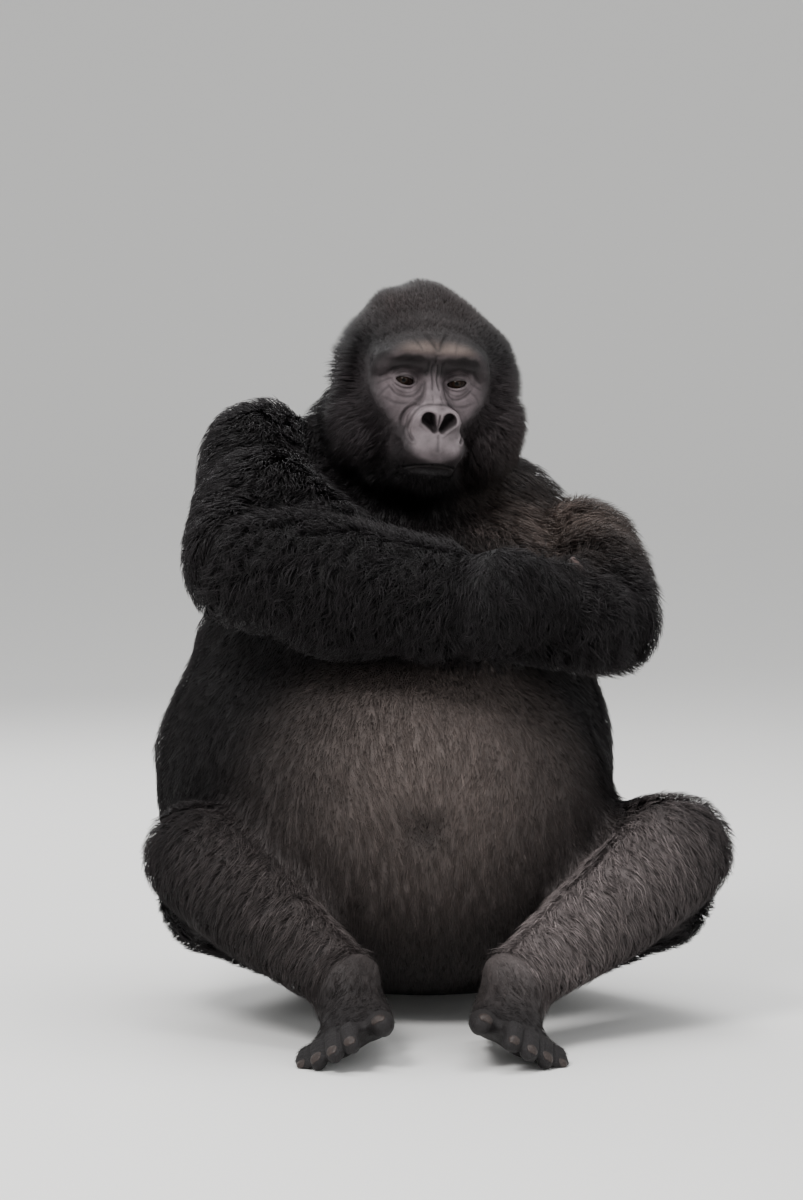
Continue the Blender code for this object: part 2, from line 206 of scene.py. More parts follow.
def apply_modifier(obj: Object, kind: str, **settings: object) -> None:
    """Adds a modifier with its settings and applies it.

    Args:
        obj: the mesh to change.
        kind: Blender's name for the modifier.
        settings: the modifier's own settings.
    """
    activate(obj)
    modifier = obj.modifiers.new(kind.title(), kind)
    for name, value in settings.items():
        setattr(modifier, name, value)
    bpy.ops.object.modifier_apply(modifier=modifier.name)


@contextmanager
def editing(mesh: Mesh) -> Iterator[bmesh.types.BMesh]:
    """Opens a mesh for changes to its vertices and faces, and writes them back.

    Args:
        mesh: the mesh.

    Yields:
        The mesh as it is edited.
    """
    build = bmesh.new()
    build.from_mesh(mesh)
    yield build
    build.to_mesh(mesh)
    build.free()


def relax(build: bmesh.types.BMesh, verts: list[bmesh.types.BMVert], rounds: int) -> None:
    """Evens out some vertices of a mesh."""
    for _ in range(rounds):
        bmesh.ops.smooth_vert(build, verts=verts, factor=0.5, use_axis_x=True, use_axis_y=True,
                              use_axis_z=True)


def rows_of(items: bpy.types.bpy_prop_collection, name: str, columns: int, kind: type = np.float32) -> Array:
    """One value of each vertex, edge, face or corner.

    Args:
        items: the vertices, edges, faces or corners.
        name: what to read.
        columns: how many numbers it has.
        kind: what kind of number.

    Returns:
        The values, one row each.
    """
    flat = np.empty(len(items) * columns, kind)
    items.foreach_get(name, flat)
    return flat.reshape(-1, columns)


def points_of(mesh: Mesh) -> Array:
    """The places of a mesh's vertices, one row each."""
    return rows_of(mesh.vertices, "co", 3).astype(float)


def normals_of(mesh: Mesh) -> Array:
    """The vertex normals of a mesh, one row each."""
    return rows_of(mesh.vertex_normals, "vector", 3).astype(float)


def edges_of(mesh: Mesh) -> Array:
    """The vertex pairs of a mesh's edges."""
    return rows_of(mesh.edges, "vertices", 2, np.int32)


def move_points(mesh: Mesh, points: Array) -> None:
    """Puts a mesh's vertices at new places."""
    mesh.vertices.foreach_set("co", points.astype(np.float32).ravel())
    mesh.update()


def spread(values: Array, edges: Array, rounds: int) -> Array:
    """Evens out values over a mesh by taking each vertex halfway to its neighbours' mean.

    Args:
        values: one row or number for each vertex.
        edges: the vertex pairs.
        rounds: how often to do it.

    Returns:
        The evened values, in the same shape.
    """
    table = values.reshape(len(values), -1).astype(float)
    ends = np.concatenate([edges[:, 0], edges[:, 1]])
    others = np.concatenate([edges[:, 1], edges[:, 0]])
    count = np.maximum(np.bincount(ends, minlength=len(table)), 1)
    for _ in range(rounds):
        for column in range(table.shape[1]):
            total = np.bincount(ends, weights=table[others, column], minlength=len(table))
            table[:, column] = 0.5 * table[:, column] + 0.5 * total / count
    return table.reshape(values.shape)


def tree_of(mesh: Mesh) -> BVHTree:
    """A search tree over a mesh's faces."""
    return BVHTree.FromPolygons([v.co.copy() for v in mesh.vertices],
                                [tuple(p.vertices) for p in mesh.polygons])


def nearest(tree: BVHTree, points: Array) -> tuple[Array, Array, Array]:
    """The closest place on a surface to each point.

    Args:
        tree: the surface.
        points: the points, one row each.

    Returns:
        The places, the face normals there and the face numbers.
    """
    places, normals = np.empty_like(points), np.empty_like(points)
    faces = np.empty(len(points), np.int64)
    for i, point in enumerate(points):
        places[i], normals[i], faces[i], _ = tree.find_nearest(point)
    return places, normals, faces


def line_distance(points: Array, line: Array) -> Array:
    """How far each point is from a broken line.

    Args:
        points: the points, one row each, of two or three numbers.
        line: the corners of the line, in the same numbers.

    Returns:
        The distances.
    """
    best = np.full(len(points), 1e9)
    for start, end in zip(line[:-1], line[1:]):
        along = end - start
        t = np.clip((points - start) @ along / max(float(along @ along), 1e-12), 0, 1)
        best = np.minimum(best, np.linalg.norm(points - start - t[:, None] * along, axis=1))
    return best


def rounded_line(corners: Array, parts: int) -> Array:
    """A smooth curve through corners.

    Args:
        corners: the corners, one row each; the first axis may also be a stack of curves.
        parts: how many pieces each span gets.

    Returns:
        The points of the curve, corners among them.
    """
    ends = np.concatenate([corners[:1] * 2 - corners[1:2], corners, corners[-1:] * 2 - corners[-2:-1]])
    rows = []
    for i in range(1, len(ends) - 2):
        a, b, c, d = ends[i - 1:i + 3]
        for t in np.arange(parts) / parts:
            rows.append(0.5 * (2 * b + (c - a) * t + (2 * a - 5 * b + 4 * c - d) * t ** 2
                               + (3 * b - a - 3 * c + d) * t ** 3))
    rows.append(corners[-1])
    return np.array(rows)


def new_piece(name: str, points: Array, faces: Array) -> Object:
    """A mesh object at the origin from points and faces.

    Args:
        name: the piece's name.
        points: the vertices, one row each.
        faces: the faces, one row each, all with the same number of corners.

    Returns:
        The object, linked to the scene.
    """
    mesh = bpy.data.meshes.new(name)
    mesh.vertices.add(len(points))
    mesh.vertices.foreach_set("co", points.astype(np.float32).ravel())
    mesh.loops.add(faces.size)
    mesh.loops.foreach_set("vertex_index", faces.astype(np.int32).ravel())
    mesh.polygons.add(len(faces))
    mesh.polygons.foreach_set("loop_start", np.arange(0, faces.size, faces.shape[1], dtype=np.int32))
    mesh.update(calc_edges=True)
    mesh.polygons.foreach_set("use_smooth", np.ones(len(faces), bool))
    return show(bpy.data.objects.new(name, mesh))


def paint(mesh: Mesh, name: str, colours: Array) -> None:
    """Stores one colour for each vertex.

    Args:
        mesh: the mesh.
        name: the attribute's name, which materials read.
        colours: red, green and blue, one row for each vertex.
    """
    layer = mesh.color_attributes.new(name, "FLOAT_COLOR", "POINT")
    rows = np.ones((len(colours), 4), np.float32)
    rows[:, :3] = colours
    layer.data.foreach_set("color", rows.ravel())


# ---------------------------------------------------------------- finishes
class Nodes:
    """A short way to write a material's nodes."""

    def __init__(self, name: str) -> None:
        """Starts a material with its shader and output.

        Args:
            name: the material's name.
        """
        self.material = bpy.data.materials.new(name)
        self.material.use_nodes = True
        self.tree = self.material.node_tree
        self.tree.nodes.clear()
        self.shader = self.add("BsdfPrincipled")
        self.add("OutputMaterial", {0: self.shader.outputs[0]})
        self.place = self.add("TexCoord").outputs["Object"]

    def add(self, kind: str, inputs: dict | None = None, **settings: object) -> Node:
        """Adds a node.

        Args:
            kind: the node's type without the ShaderNode in front.
            inputs: a value or a socket for each named or numbered input.
            settings: the node's own settings.

        Returns:
            The node.
        """
        node = self.tree.nodes.new("ShaderNode" + kind)
        for name, value in settings.items():
            setattr(node, name, value)
        for name, value in (inputs or {}).items():
            self.put(node, name, value)
        return node

    def put(self, node: Node, name: str | int, value: object) -> None:
        """Sets or links one input of a node."""
        if isinstance(value, Socket):
            self.tree.links.new(value, node.inputs[name])
        else:
            node.inputs[name].default_value = value

    def dress(self, **looks: object) -> Material:
        """Sets or links the shader's inputs, named with _ for each space, and gives the material."""
        for name, value in looks.items():
            self.put(self.shader, name.replace("_", " "), value)
        return self.material

    def stored(self, name: str, part: str = "Color") -> Socket:
        """One of the mesh's own values."""
        return self.add("Attribute", attribute_name=name).outputs[part]

    def math(self, operation: str, a: object, b: object) -> Socket:
        """The result of one sum on two numbers or sockets."""
        return self.add("Math", {0: a, 1: b}, operation=operation).outputs[0]

    def between(self, value: Socket, low: float, high: float, source: Pair = (0.3, 0.7)) -> Socket:
        """Stretches a pattern's middle, or another part of it, to run from low to high."""
        return self.add("MapRange", {0: value, 1: source[0], 2: source[1], 3: low, 4: high}).outputs[0]

    def scaled(self, colour: Socket, tone: Socket) -> Socket:
        """A colour made lighter or darker."""
        return self.add("VectorMath", {0: colour, 3: tone}, operation="SCALE").outputs[0]

    def noise(self, scale: float, detail: float, stretch: Triple = (1, 1, 1)) -> Socket:
        """A noise pattern on the piece's own place.

        Args:
            scale: how fine it is.
            detail: how many finer layers it has.
            stretch: how much finer it is along each axis.

        Returns:
            The pattern from 0 to 1.
        """
        place = self.add("Mapping", {"Vector": self.place, "Scale": stretch}).outputs[0]
        return self.add("TexNoise", {"Vector": place, "Scale": scale, "Detail": detail}).outputs[0]

    def bump(self, height: Socket, distance: float, strength: float, under: Socket | None = None) -> Socket:
        """Raises the surface by a pattern.

        Args:
            height: the pattern.
            distance: how high it stands, in metres.
            strength: how much of it shows.
            under: a normal that it lies on.

        Returns:
            The new normal.
        """
        node = self.add("Bump", {"Height": height, "Distance": distance, "Strength": strength})
        if under is not None:
            self.put(node, "Normal", under)
        return node.outputs[0]


@dataclass(frozen=True)
class SkinFinish:
    """Bare and haired skin: colour from the stored colours, painted shade and highlights among them, fine
    wrinkles and pores with painted shade in the pores' furrows, a soft gloss.
    """

    dry: float = 0.64
    wet: float = 0.26
    specular: float = 0.27
    pore_scale: float = 900.0
    pore_bend: float = 0.0045

    def make(self) -> Material:
        """Builds the material."""
        nodes = Nodes("gorilla_skin")
        shine = nodes.add("SeparateColor", {0: nodes.stored("Shine")}).outputs
        gloss, bare = shine[0], shine[1]
        blotch, pores = nodes.noise(60.0, 4.0), self.pores(nodes)
        # the pores' furrows darken the colour a little as painted shade
        furrow_shade = nodes.between(pores, 0.87, 1.0, (0, 1))
        tone = nodes.math("MULTIPLY", nodes.between(blotch, 0.72, 1.24), furrow_shade)
        rough = nodes.math("SUBTRACT", self.dry, nodes.math("MULTIPLY", gloss, self.wet))
        rough = nodes.math("ADD", rough, nodes.math("MULTIPLY", nodes.math("SUBTRACT", blotch, 0.5), 0.15))
        wrinkles = nodes.noise(260.0, 5.0, (1.0, 1.0, 0.35))
        fine = nodes.bump(nodes.math("MULTIPLY", pores, bare), 0.0003, 0.8)
        fine = nodes.bump(nodes.math("MULTIPLY", wrinkles, bare), 0.0007, 0.8, fine)
        underfur = nodes.noise(420.0, 4.0, (1.0, 1.0, 0.22))
        haired = nodes.math("SUBTRACT", 1.0, bare)
        fine = nodes.bump(nodes.math("MULTIPLY", underfur, haired), 0.003, 0.8, fine)
        return nodes.dress(Base_Color=nodes.scaled(nodes.stored("Marking"), tone), Roughness=rough,
                           Specular_IOR_Level=self.specular, Normal=fine)

    def pores(self, nodes: Nodes) -> Socket:
        """A net of fine bent furrows.

        Args:
            nodes: the material's nodes.

        Returns:
            The pattern, 0 in each furrow and 1 between them.
        """
        bend = nodes.add("TexNoise", {"Vector": nodes.place, "Scale": 300.0, "Detail": 3.0}).outputs[1]
        bend = nodes.add("VectorMath", {0: bend, 1: (self.pore_bend,) * 3}, operation="MULTIPLY").outputs[0]
        place = nodes.add("VectorMath", {0: nodes.place, 1: bend}, operation="ADD").outputs[0]
        net = nodes.add("TexVoronoi", {"Vector": place, "Scale": self.pore_scale, "Randomness": 1.0},
                        feature="DISTANCE_TO_EDGE").outputs[0]
        return nodes.between(net, 0.0, 1.0, (0.0, 0.2))


@dataclass(frozen=True)
class EyeFinish:
    """A wet eye: dark white, brown iris with fibres, black pupil; the angles are from its middle."""

    white: Triple = (0.011, 0.007, 0.006)
    rim: Triple = (0.003, 0.002, 0.002)
    iris: Triple = (0.0125, 0.0072, 0.0048)
    pupil: Triple = (0.002, 0.002, 0.002)
    pupil_angle: float = 10.5
    iris_angle: float = 29.0

    def make(self) -> Material:
        """Builds the material."""
        nodes = Nodes("wet_eye")
        ramp = nodes.add("ValToRGB", {0: nodes.math("DIVIDE", nodes.stored("Angle", "Fac"), 90.0)})
        stops, edge = ramp.color_ramp.elements, self.iris_angle
        stops[0].position, stops[0].color = self.pupil_angle / 90, (*self.pupil, 1)
        stops[1].position, stops[1].color = (edge + 4) / 90, (*self.white, 1)
        for angle, colour in ((self.pupil_angle + 1.5, self.iris), (edge - 4, self.iris),
                              (edge, self.rim), (edge + 1.5, self.rim)):
            stops.new(angle / 90).color = (*colour, 1)
        fibres = nodes.between(nodes.noise(900.0, 3.0), 0.7, 1.3)
        return nodes.dress(Base_Color=nodes.scaled(ramp.outputs[0], fibres), Roughness=0.03,
                           Specular_IOR_Level=0.1, Normal=nodes.bump(nodes.noise(300.0, 2.0), 0.0001, 0.15))


@dataclass(frozen=True)
class HairFinish:
    """Black-brown hair with a soft gloss; the colour, painted sheen and shade among it, comes from the coat's
    colours.
    """

    roughness: float = 0.46
    unevenness: float = 0.07
    specular: float = 0.2

    def make(self) -> Material:
        """Builds the material."""
        nodes = Nodes("gorilla_hair")
        streak = nodes.noise(180.0, 3.0)
        rough = nodes.between(streak, self.roughness - self.unevenness, self.roughness + self.unevenness)
        return nodes.dress(Base_Color=nodes.scaled(nodes.stored("Marking"), nodes.between(streak, 0.8, 1.25)),
                           Roughness=rough, Specular_IOR_Level=self.specular)


@dataclass(frozen=True)
class NailFinish:
    """Dark horn with lengthwise ridges and paler patches."""

    dark: Triple = (0.018, 0.013, 0.012)
    pale: Triple = (0.048, 0.037, 0.033)

    def make(self) -> Material:
        """Builds the material."""
        nodes = Nodes("dark_horn")
        grain = nodes.noise(500.0, 4.0, (1.0, 0.3, 1.0))
        ramp = nodes.add("ValToRGB", {0: grain})
        for stop, place, colour in zip(ramp.color_ramp.elements, (0.3, 0.75), (self.dark, self.pale)):
            stop.position, stop.color = place, (*colour, 1)
        return nodes.dress(Base_Color=ramp.outputs[0], Roughness=0.46, Specular_IOR_Level=0.22,
                           Normal=nodes.bump(grain, 0.0003, 0.5))


@dataclass(frozen=True)
class FloorFinish:
    """A plain pale studio floor with a faint unevenness."""

    colour: tuple[float, float, float, float] = (0.78, 0.775, 0.76, 1)

    def make(self) -> Material:
        """Builds the material."""
        nodes = Nodes("pale_floor")
        return nodes.dress(Base_Color=self.colour, Roughness=0.8,
                           Normal=nodes.bump(nodes.noise(30.0, 3.0), 0.001, 0.1))


# ---------------------------------------------------------------- the head's own frame
@dataclass
class HeadFrame:
    """Places in the head, in millimetres: x to the animal's left, y backwards, z up.

    The face looks towards -y and a little further to its left than the skull does,
    so that everything in front of the eyes leans that way.
    """

    turn: Triple = (4.0, 4.5, 10.0)
    eye: Triple = (37.0, -101.0, 22.5)
    lean: float = 0.085
    lean_from: float = -104.0

    def __post_init__(self) -> None:
        """Finds the frame from where the two eyes are."""
        turn = Euler([math.radians(a) for a in self.turn]).to_matrix()
        middle = Vector()
        for side in Side:
            low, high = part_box(f"{side}_eye")
            middle += (low + high) / 4
        self.axes = np.array(turn)
        self.origin = np.array(middle - turn @ (Vector((0, self.eye[1], self.eye[2])) * MM))

    def straight(self, points: Array) -> Array:
        """World places as head places in millimetres, lean and all."""
        return (points - self.origin) @ self.axes * 1000.0

    def inside(self, points: Array) -> Array:
        """World places as even-faced head places in millimetres."""
        local = self.straight(points)
        local[:, 0] -= self.lean * np.maximum(self.lean_from - local[:, 1], 0)
        return local

    def world(self, local: Array) -> Array:
        """Even-faced head places in millimetres as world places."""
        local = np.array(local, float)
        local[..., 0] += self.lean * np.maximum(self.lean_from - local[..., 1], 0)
        return local * MM @ self.axes.T + self.origin

    def eye_centre(self, side: Side) -> Array:
        """The middle of one eyeball, in millimetres."""
        return np.array(self.eye) * (side.value, 1, 1)


# ---------------------------------------------------------------- marks on the face
@dataclass(frozen=True)
class Crease:
    """A fold in the face, seen from in front: its line in x and z, width and depth, in millimetres."""

    line: tuple[Pair, ...]
    width: float
    depth: float
    both: bool = True
    swell: float = 0.45

    def trace(self, local: Array) -> tuple[Array, Array]:
        """The places seen from in front, and the fold's curve."""
        x = np.abs(local[:, 0]) if self.both else local[:, 0]
        return np.stack([x, local[:, 2]], axis=1), rounded_line(np.array(self.line, float), 5)

    def height(self, local: Array) -> Array:
        """How far the fold raises the surface.

        Args:
            local: places in the head.

        Returns:
            The rise at each place, in millimetres.
        """
        flat, curve = self.trace(local)
        d = line_distance(flat, curve)
        fade = 0.35 + 0.65 * step(0, 3 * self.width, np.minimum(gap(flat, curve[0]), gap(flat, curve[-1])))
        return self.depth * fade * (self.swell * bell(d - 2.1 * self.width, self.width) - bell(d, self.width))

    def shadow(self, local: Array) -> Array:
        """How much painted shade darkens the bottom of the fold at each place, from 0 to 1."""
        return min(1.0, 0.45 + 0.3 * self.depth) * bell(line_distance(*self.trace(local)), 0.95 * self.width)


@dataclass(frozen=True)
class Dab:
    """A soft push on the face: where, how wide each way and how far, in millimetres."""

    place: Triple
    size: Triple
    push: Triple
    both: bool = True

    def move(self, local: Array) -> Array:
        """The shift of places in the head.

        Args:
            local: the places.

        Returns:
            The shifts, one row each.
        """
        total = np.zeros_like(local)
        for side in (1, -1) if self.both else (1,):
            away = (local - np.array(self.place) * (side, 1, 1)) / np.array(self.size)
            total += np.exp(-(away ** 2).sum(axis=1))[:, None] * (np.array(self.push) * (side, 1, 1))
        return total


CREASES = (
    Crease(((15, 20), (21, 9), (29, 2), (38, 0.5), (48, 4), (57, 13)), 1.6, 1.2),    # under the eye
    Crease(((21, 12), (28, 7.5), (37, 6), (46, 9), (53, 15)), 1.2, 0.5),
    Crease(((20, 1), (28, -6), (38, -9), (50, -9), (62, -3)), 1.9, 0.6),
    Crease(((13, 24), (15, 13), (19, 2), (25, -7)), 1.6, 1.5),                       # beside the nose
    Crease(((0, -3), (12, -4), (25, -8.5), (34, -17), (38.5, -29), (39, -41), (34, -53)), 1.7, 3.2),
    Crease(((42, -40), (49, -54), (53, -70), (50, -88)), 2.4, 1.7),                  # round the muzzle
    Crease(((49, -36), (58, -50), (62, -68)), 2.2, 0.9),
    Crease(((3.6, 47), (4.6, 37), (3.2, 26), (5.0, 15)), 1.5, 1.5),                  # between the eyes
    Crease(((10, 50), (9.2, 42), (11.5, 33)), 1.5, 1.2),
    Crease(((-2, 60), (-1, 48), (-1.5, 40)), 1.4, 1.0, False),
    Crease(((19, 91), (9, 80), (1.5, 68)), 2.2, 1.8),                                # furrow in the brow
    Crease(((36, 84), (27, 76), (23, 68)), 2.0, 0.9),
    Crease(((6, 6), (7, -1)), 1.4, 0.6),                                             # root of the nose
    Crease(((0, -17), (0, -38)), 1.3, 1.4, False),                                   # its partition
    Crease(((0, -44), (0, -64)), 2.4, 0.9, False),                                   # groove to the lip
    Crease(((0, -86), (13, -86.5), (25, -88.5), (35, -92.5), (41, -98)), 1.4, 4.2, True, 0.15),  # the mouth
    Crease(((0, -105), (16, -105), (29, -110)), 2.6, 1.2),                           # under the lip
    Crease(((54, 40), (62, 31), (70, 24)), 1.5, 1.0),                                # outer eye corner
    Crease(((56, 24), (64, 19), (72, 15)), 1.4, 0.9),
    Crease(((57, 12), (64, 6), (70, -3)), 1.6, 0.7),
)

DABS = (
    Dab((0, -160, -64), (28, 20, 13), (0, -3.0, 0), False),      # fullness of the upper lip
    Dab((0, -152, -80), (30, 20, 7), (0, -3.0, -1.5), False),    # its rolled edge
    Dab((23, -156, -30), (11, 16, 13), (2.2, -3.0, 0)),          # nostril wings
    Dab((0, -160, -9), (14, 16, 8), (0, -3.0, 1.0), False),      # tip of the nose
    Dab((0, -128, 20), (11, 16, 24), (0, 2.0, 0), False),        # bridge
    Dab((56, -100, -8), (20, 22, 18), (-1.0, 5.0, 1.0)),         # cheekbones, less full
    Dab((44, -128, -48), (12, 22, 26), (-2.5, 4.0, 0)),          # hollow beside the muzzle
    Dab((0, -138, -102), (44, 28, 14), (0, 9.0, 2.0), False),    # lower lip and chin, drawn back
    Dab((38, -125, -92), (14, 24, 14), (-2.5, 4.0, 1.0)),        # corners of the mouth
    Dab((28, -130, 67), (32, 16, 7.5), (0, -5.0, 0.5)),          # crest of the brow
    Dab((62, -116, 58), (15, 18, 9), (2.0, -3.0, 0.5)),
    Dab((36, -122, 50), (28, 16, 7.0), (0, 7.0, 1.0)),           # under the brow
    Dab((0, -128, 47), (10, 16, 8), (0, 3.0, 0), False),
    Dab((0, -128, 88), (30, 20, 8), (0, 2.5, 0), False),         # above the brow
)


@dataclass(frozen=True)
class Nostril:
    """One comma-shaped nostril: round above and outside, with a tail that runs down and in."""

    top: Pair = (14.6, -23.0)
    top_radius: float = 9.8
    tail: Pair = (5.4, -36.5)
    tail_radius: float = 4.2
    depth: float = 17.0
    rim: float = 1.7

    def inside(self, local: Array) -> Array:
        """How deep inside the outline places lie.

        Args:
            local: places in the head.

        Returns:
            The depth of each in millimetres; below 0 is outside.
        """
        flat = np.stack([np.abs(local[:, 0]), local[:, 2]], axis=1)
        start, end = np.array(self.top), np.array(self.tail)
        along = end - start
        t = np.clip((flat - start) @ along / (along @ along), 0, 1)
        radius = self.top_radius + (self.tail_radius - self.top_radius) * t ** 0.8
        return radius - np.linalg.norm(flat - start - t[:, None] * along, axis=1)

    def move(self, local: Array) -> Array:
        """The shift of places in the head: a raised rim and a deep hole.

        Args:
            local: the places.

        Returns:
            The shifts, one row each.
        """
        front = step(-126, -140, local[:, 1])
        d = self.inside(local)
        hole = self.depth * step(-0.6, 4.2, d) * front
        return np.stack([np.zeros_like(d), hole - self.rim * bell(d + 3.2, 2.6) * front, 0.35 * hole], axis=1)


class Face:
    """The bare face: where it is, how it is coloured and how it is modelled."""

    outline = np.array([  # the edge of the bare skin, seen from in front
        (0, 84), (20, 84), (42, 79), (59, 70), (72, 56), (79, 40), (80, 20), (77, 1), (66, -18),
        (51, -36), (43, -50), (41, -70), (42, -84), (40, -93), (32, -98), (18, -100), (0, -101)], float)
    closing = ((-0.01, -124), (-0.01, 88), (0, 88))    # takes the outline round behind the middle line
    nostril = Nostril()

    def __init__(self, frame: HeadFrame) -> None:
        """Keeps the head's frame."""
        self.frame = frame

    def bare(self, local: Array) -> Array:
        """How far inside the edge of the bare skin places lie.

        Args:
            local: places in the head.

        Returns:
            The distance of each in millimetres; below 0 is in the hair.
        """
        flat = np.stack([np.abs(local[:, 0]), local[:, 2]], axis=1)
        inside = np.zeros(len(flat), bool)
        closed = np.concatenate([self.outline, self.closing])
        for (x0, z0), (x1, z1) in zip(closed[:-1], closed[1:]):
            crosses = (z0 > flat[:, 1]) != (z1 > flat[:, 1])
            reach = x0 + (flat[:, 1] - z0) * (x1 - x0) / (z1 - z0 if z1 != z0 else 1e-9)
            inside ^= crosses & (flat[:, 0] < reach)
        distance = np.where(inside, 1.0, -1.0) * line_distance(flat, self.outline)
        return np.where(local[:, 1] < -30, distance, -99.0)

    def sculpt(self, points: Array, normals: Array) -> Array:
        """Models folds, nostrils, lips and brow.

        Args:
            points: world places of the skin.
            normals: the skin's normals there.

        Returns:
            The new world places.
        """
        local = self.frame.inside(points)
        near = (local[:, 1] < -55) & (np.abs(local[:, 0]) < 95) & (np.abs(local[:, 2] + 15) < 125)
        moved = local[near]
        facing = normals[near] @ self.frame.axes
        for dab in DABS:
            moved += dab.move(moved)
        height = np.zeros(len(moved))
        for crease in CREASES:
            height += crease.height(moved)
        moved += facing * (height * step(-0.10, -0.55, facing[:, 1]))[:, None]
        moved += self.nostril.move(moved)
        result = points.copy()
        result[near] = self.frame.world(moved)
        return result

    def colour(self, local: Array) -> Array:
        """The colour of the bare skin, with painted shade under the brow, in the inner corners of the eyes,
        the folds, the nostrils and the mouth, and painted highlights on the brow ridge and the lower lids.

        Args:
            local: places in the head.

        Returns:
            Red, green and blue, one row for each.
        """
        x, z = np.abs(local[:, 0]), local[:, 2]
        colour = np.tile((0.062, 0.050, 0.053), (len(local), 1))
        front = step(-118, -138, local[:, 1])
        pad = step(42, 36, np.hypot(x, (z + 34) / 1.05)) * front
        lip = step(1.12, 0.80, np.hypot(x / 42, (z + 47) / 35)) * front
        brow = z - 49.5 - 5.5 * bell(x - 36, 22) + 8 * step(50, 78, x) + 1.2 * np.sin(0.31 * local[:, 0])
        strength = (1 - 0.3 * bell(x, 6)) * step(80, 56, x)
        lid = np.hypot((x - 36.5) / 14.5, np.where(z > 24, (z - 24) / 8.5, (z - 24) / 7.5))
        in_nostril = step(-2.5, 1.0, self.nostril.inside(local)) * step(-106, -118, local[:, 1])
        for amount, target in (
                (0.95 * bell(z - 6, 32) * step(82, 52, x), (0.138, 0.111, 0.119)),  # cheeks
                (0.9 * bell(z - 73, 10) * step(70, 44, x), (0.105, 0.076, 0.064)),  # above the brow: painted highlight on the top of the ridge
                # the hairline and the outer edge
                (step(77, 90, z), (0.030, 0.023, 0.023)),
                (0.5 * step(60, 78, x) * step(70, 40, z), (0.060, 0.049, 0.052)),
                (bell(x, 13) * bell(z - 8, 22), (0.150, 0.124, 0.132)),  # bridge
                (pad, (0.168, 0.138, 0.146)),
                # beside the upper lip, and the lip
                (step(-36, -48, z) * (1 - lip) * step(-60, -90, local[:, 1]), (0.034, 0.027, 0.029)),
                (lip * step(-24, -34, z), (0.146, 0.121, 0.128)),
                # over the eye, and painted shadow under the brow
                (0.5 * bell(np.hypot((x - 37) / 1.2, z - 33), 8), (0.125, 0.105, 0.108)),
                (0.93 * strength * step(-21, -11, brow) * step(10, 3, brow), (0.0080, 0.0058, 0.0062)),
                (0.9 * bell(np.hypot((x - 16) / 0.85, z - 38), 12), (0.013, 0.009, 0.010)),  # inner corners: painted shade in the sockets under the brow
                # painted shade between the brows, and a darker dip in the painted highlight over them
                (0.6 * bell(x, 8) * bell(z - 48, 13), (0.020, 0.016, 0.017)),
                (0.8 * bell(x, 10) * bell(z - 76, 9), (0.040, 0.028, 0.024)),
                # the lower lid's paler edge, partly a painted highlight, painted shade on the upper lid, and
                # the rim of both at the eye
                (0.4 * bell(lid - 1.0, 0.12) * step(30, 20, z), (0.180, 0.150, 0.152)),
                (0.45 * bell(lid - 1.0, 0.25) * step(22, 32, z), (0.040, 0.031, 0.032)),
                (0.9 * bell(lid - 0.70, 0.16), (0.009, 0.006, 0.006)),
                (step(-80, -90, z), (0.009, 0.007, 0.008)),  # lower lip: dark skin, with painted shade under the upper lip
                (bell(z + 87 + 0.008 * x ** 2, 3.0) * front, (0.010, 0.007, 0.007)),  # the mouth: painted shade in its slit
                (in_nostril, (0.013, 0.009, 0.010))):    # inside the nostrils, painted shade; the last of the rows lies over all the others
            mix(colour, amount, target)
        # painted shade at the bottom of each fold
        dark = np.zeros(len(local))
        for crease in CREASES:
            dark = np.maximum(dark, crease.shadow(local))
        colour *= (1 - 0.62 * dark)[:, None]
        return colour


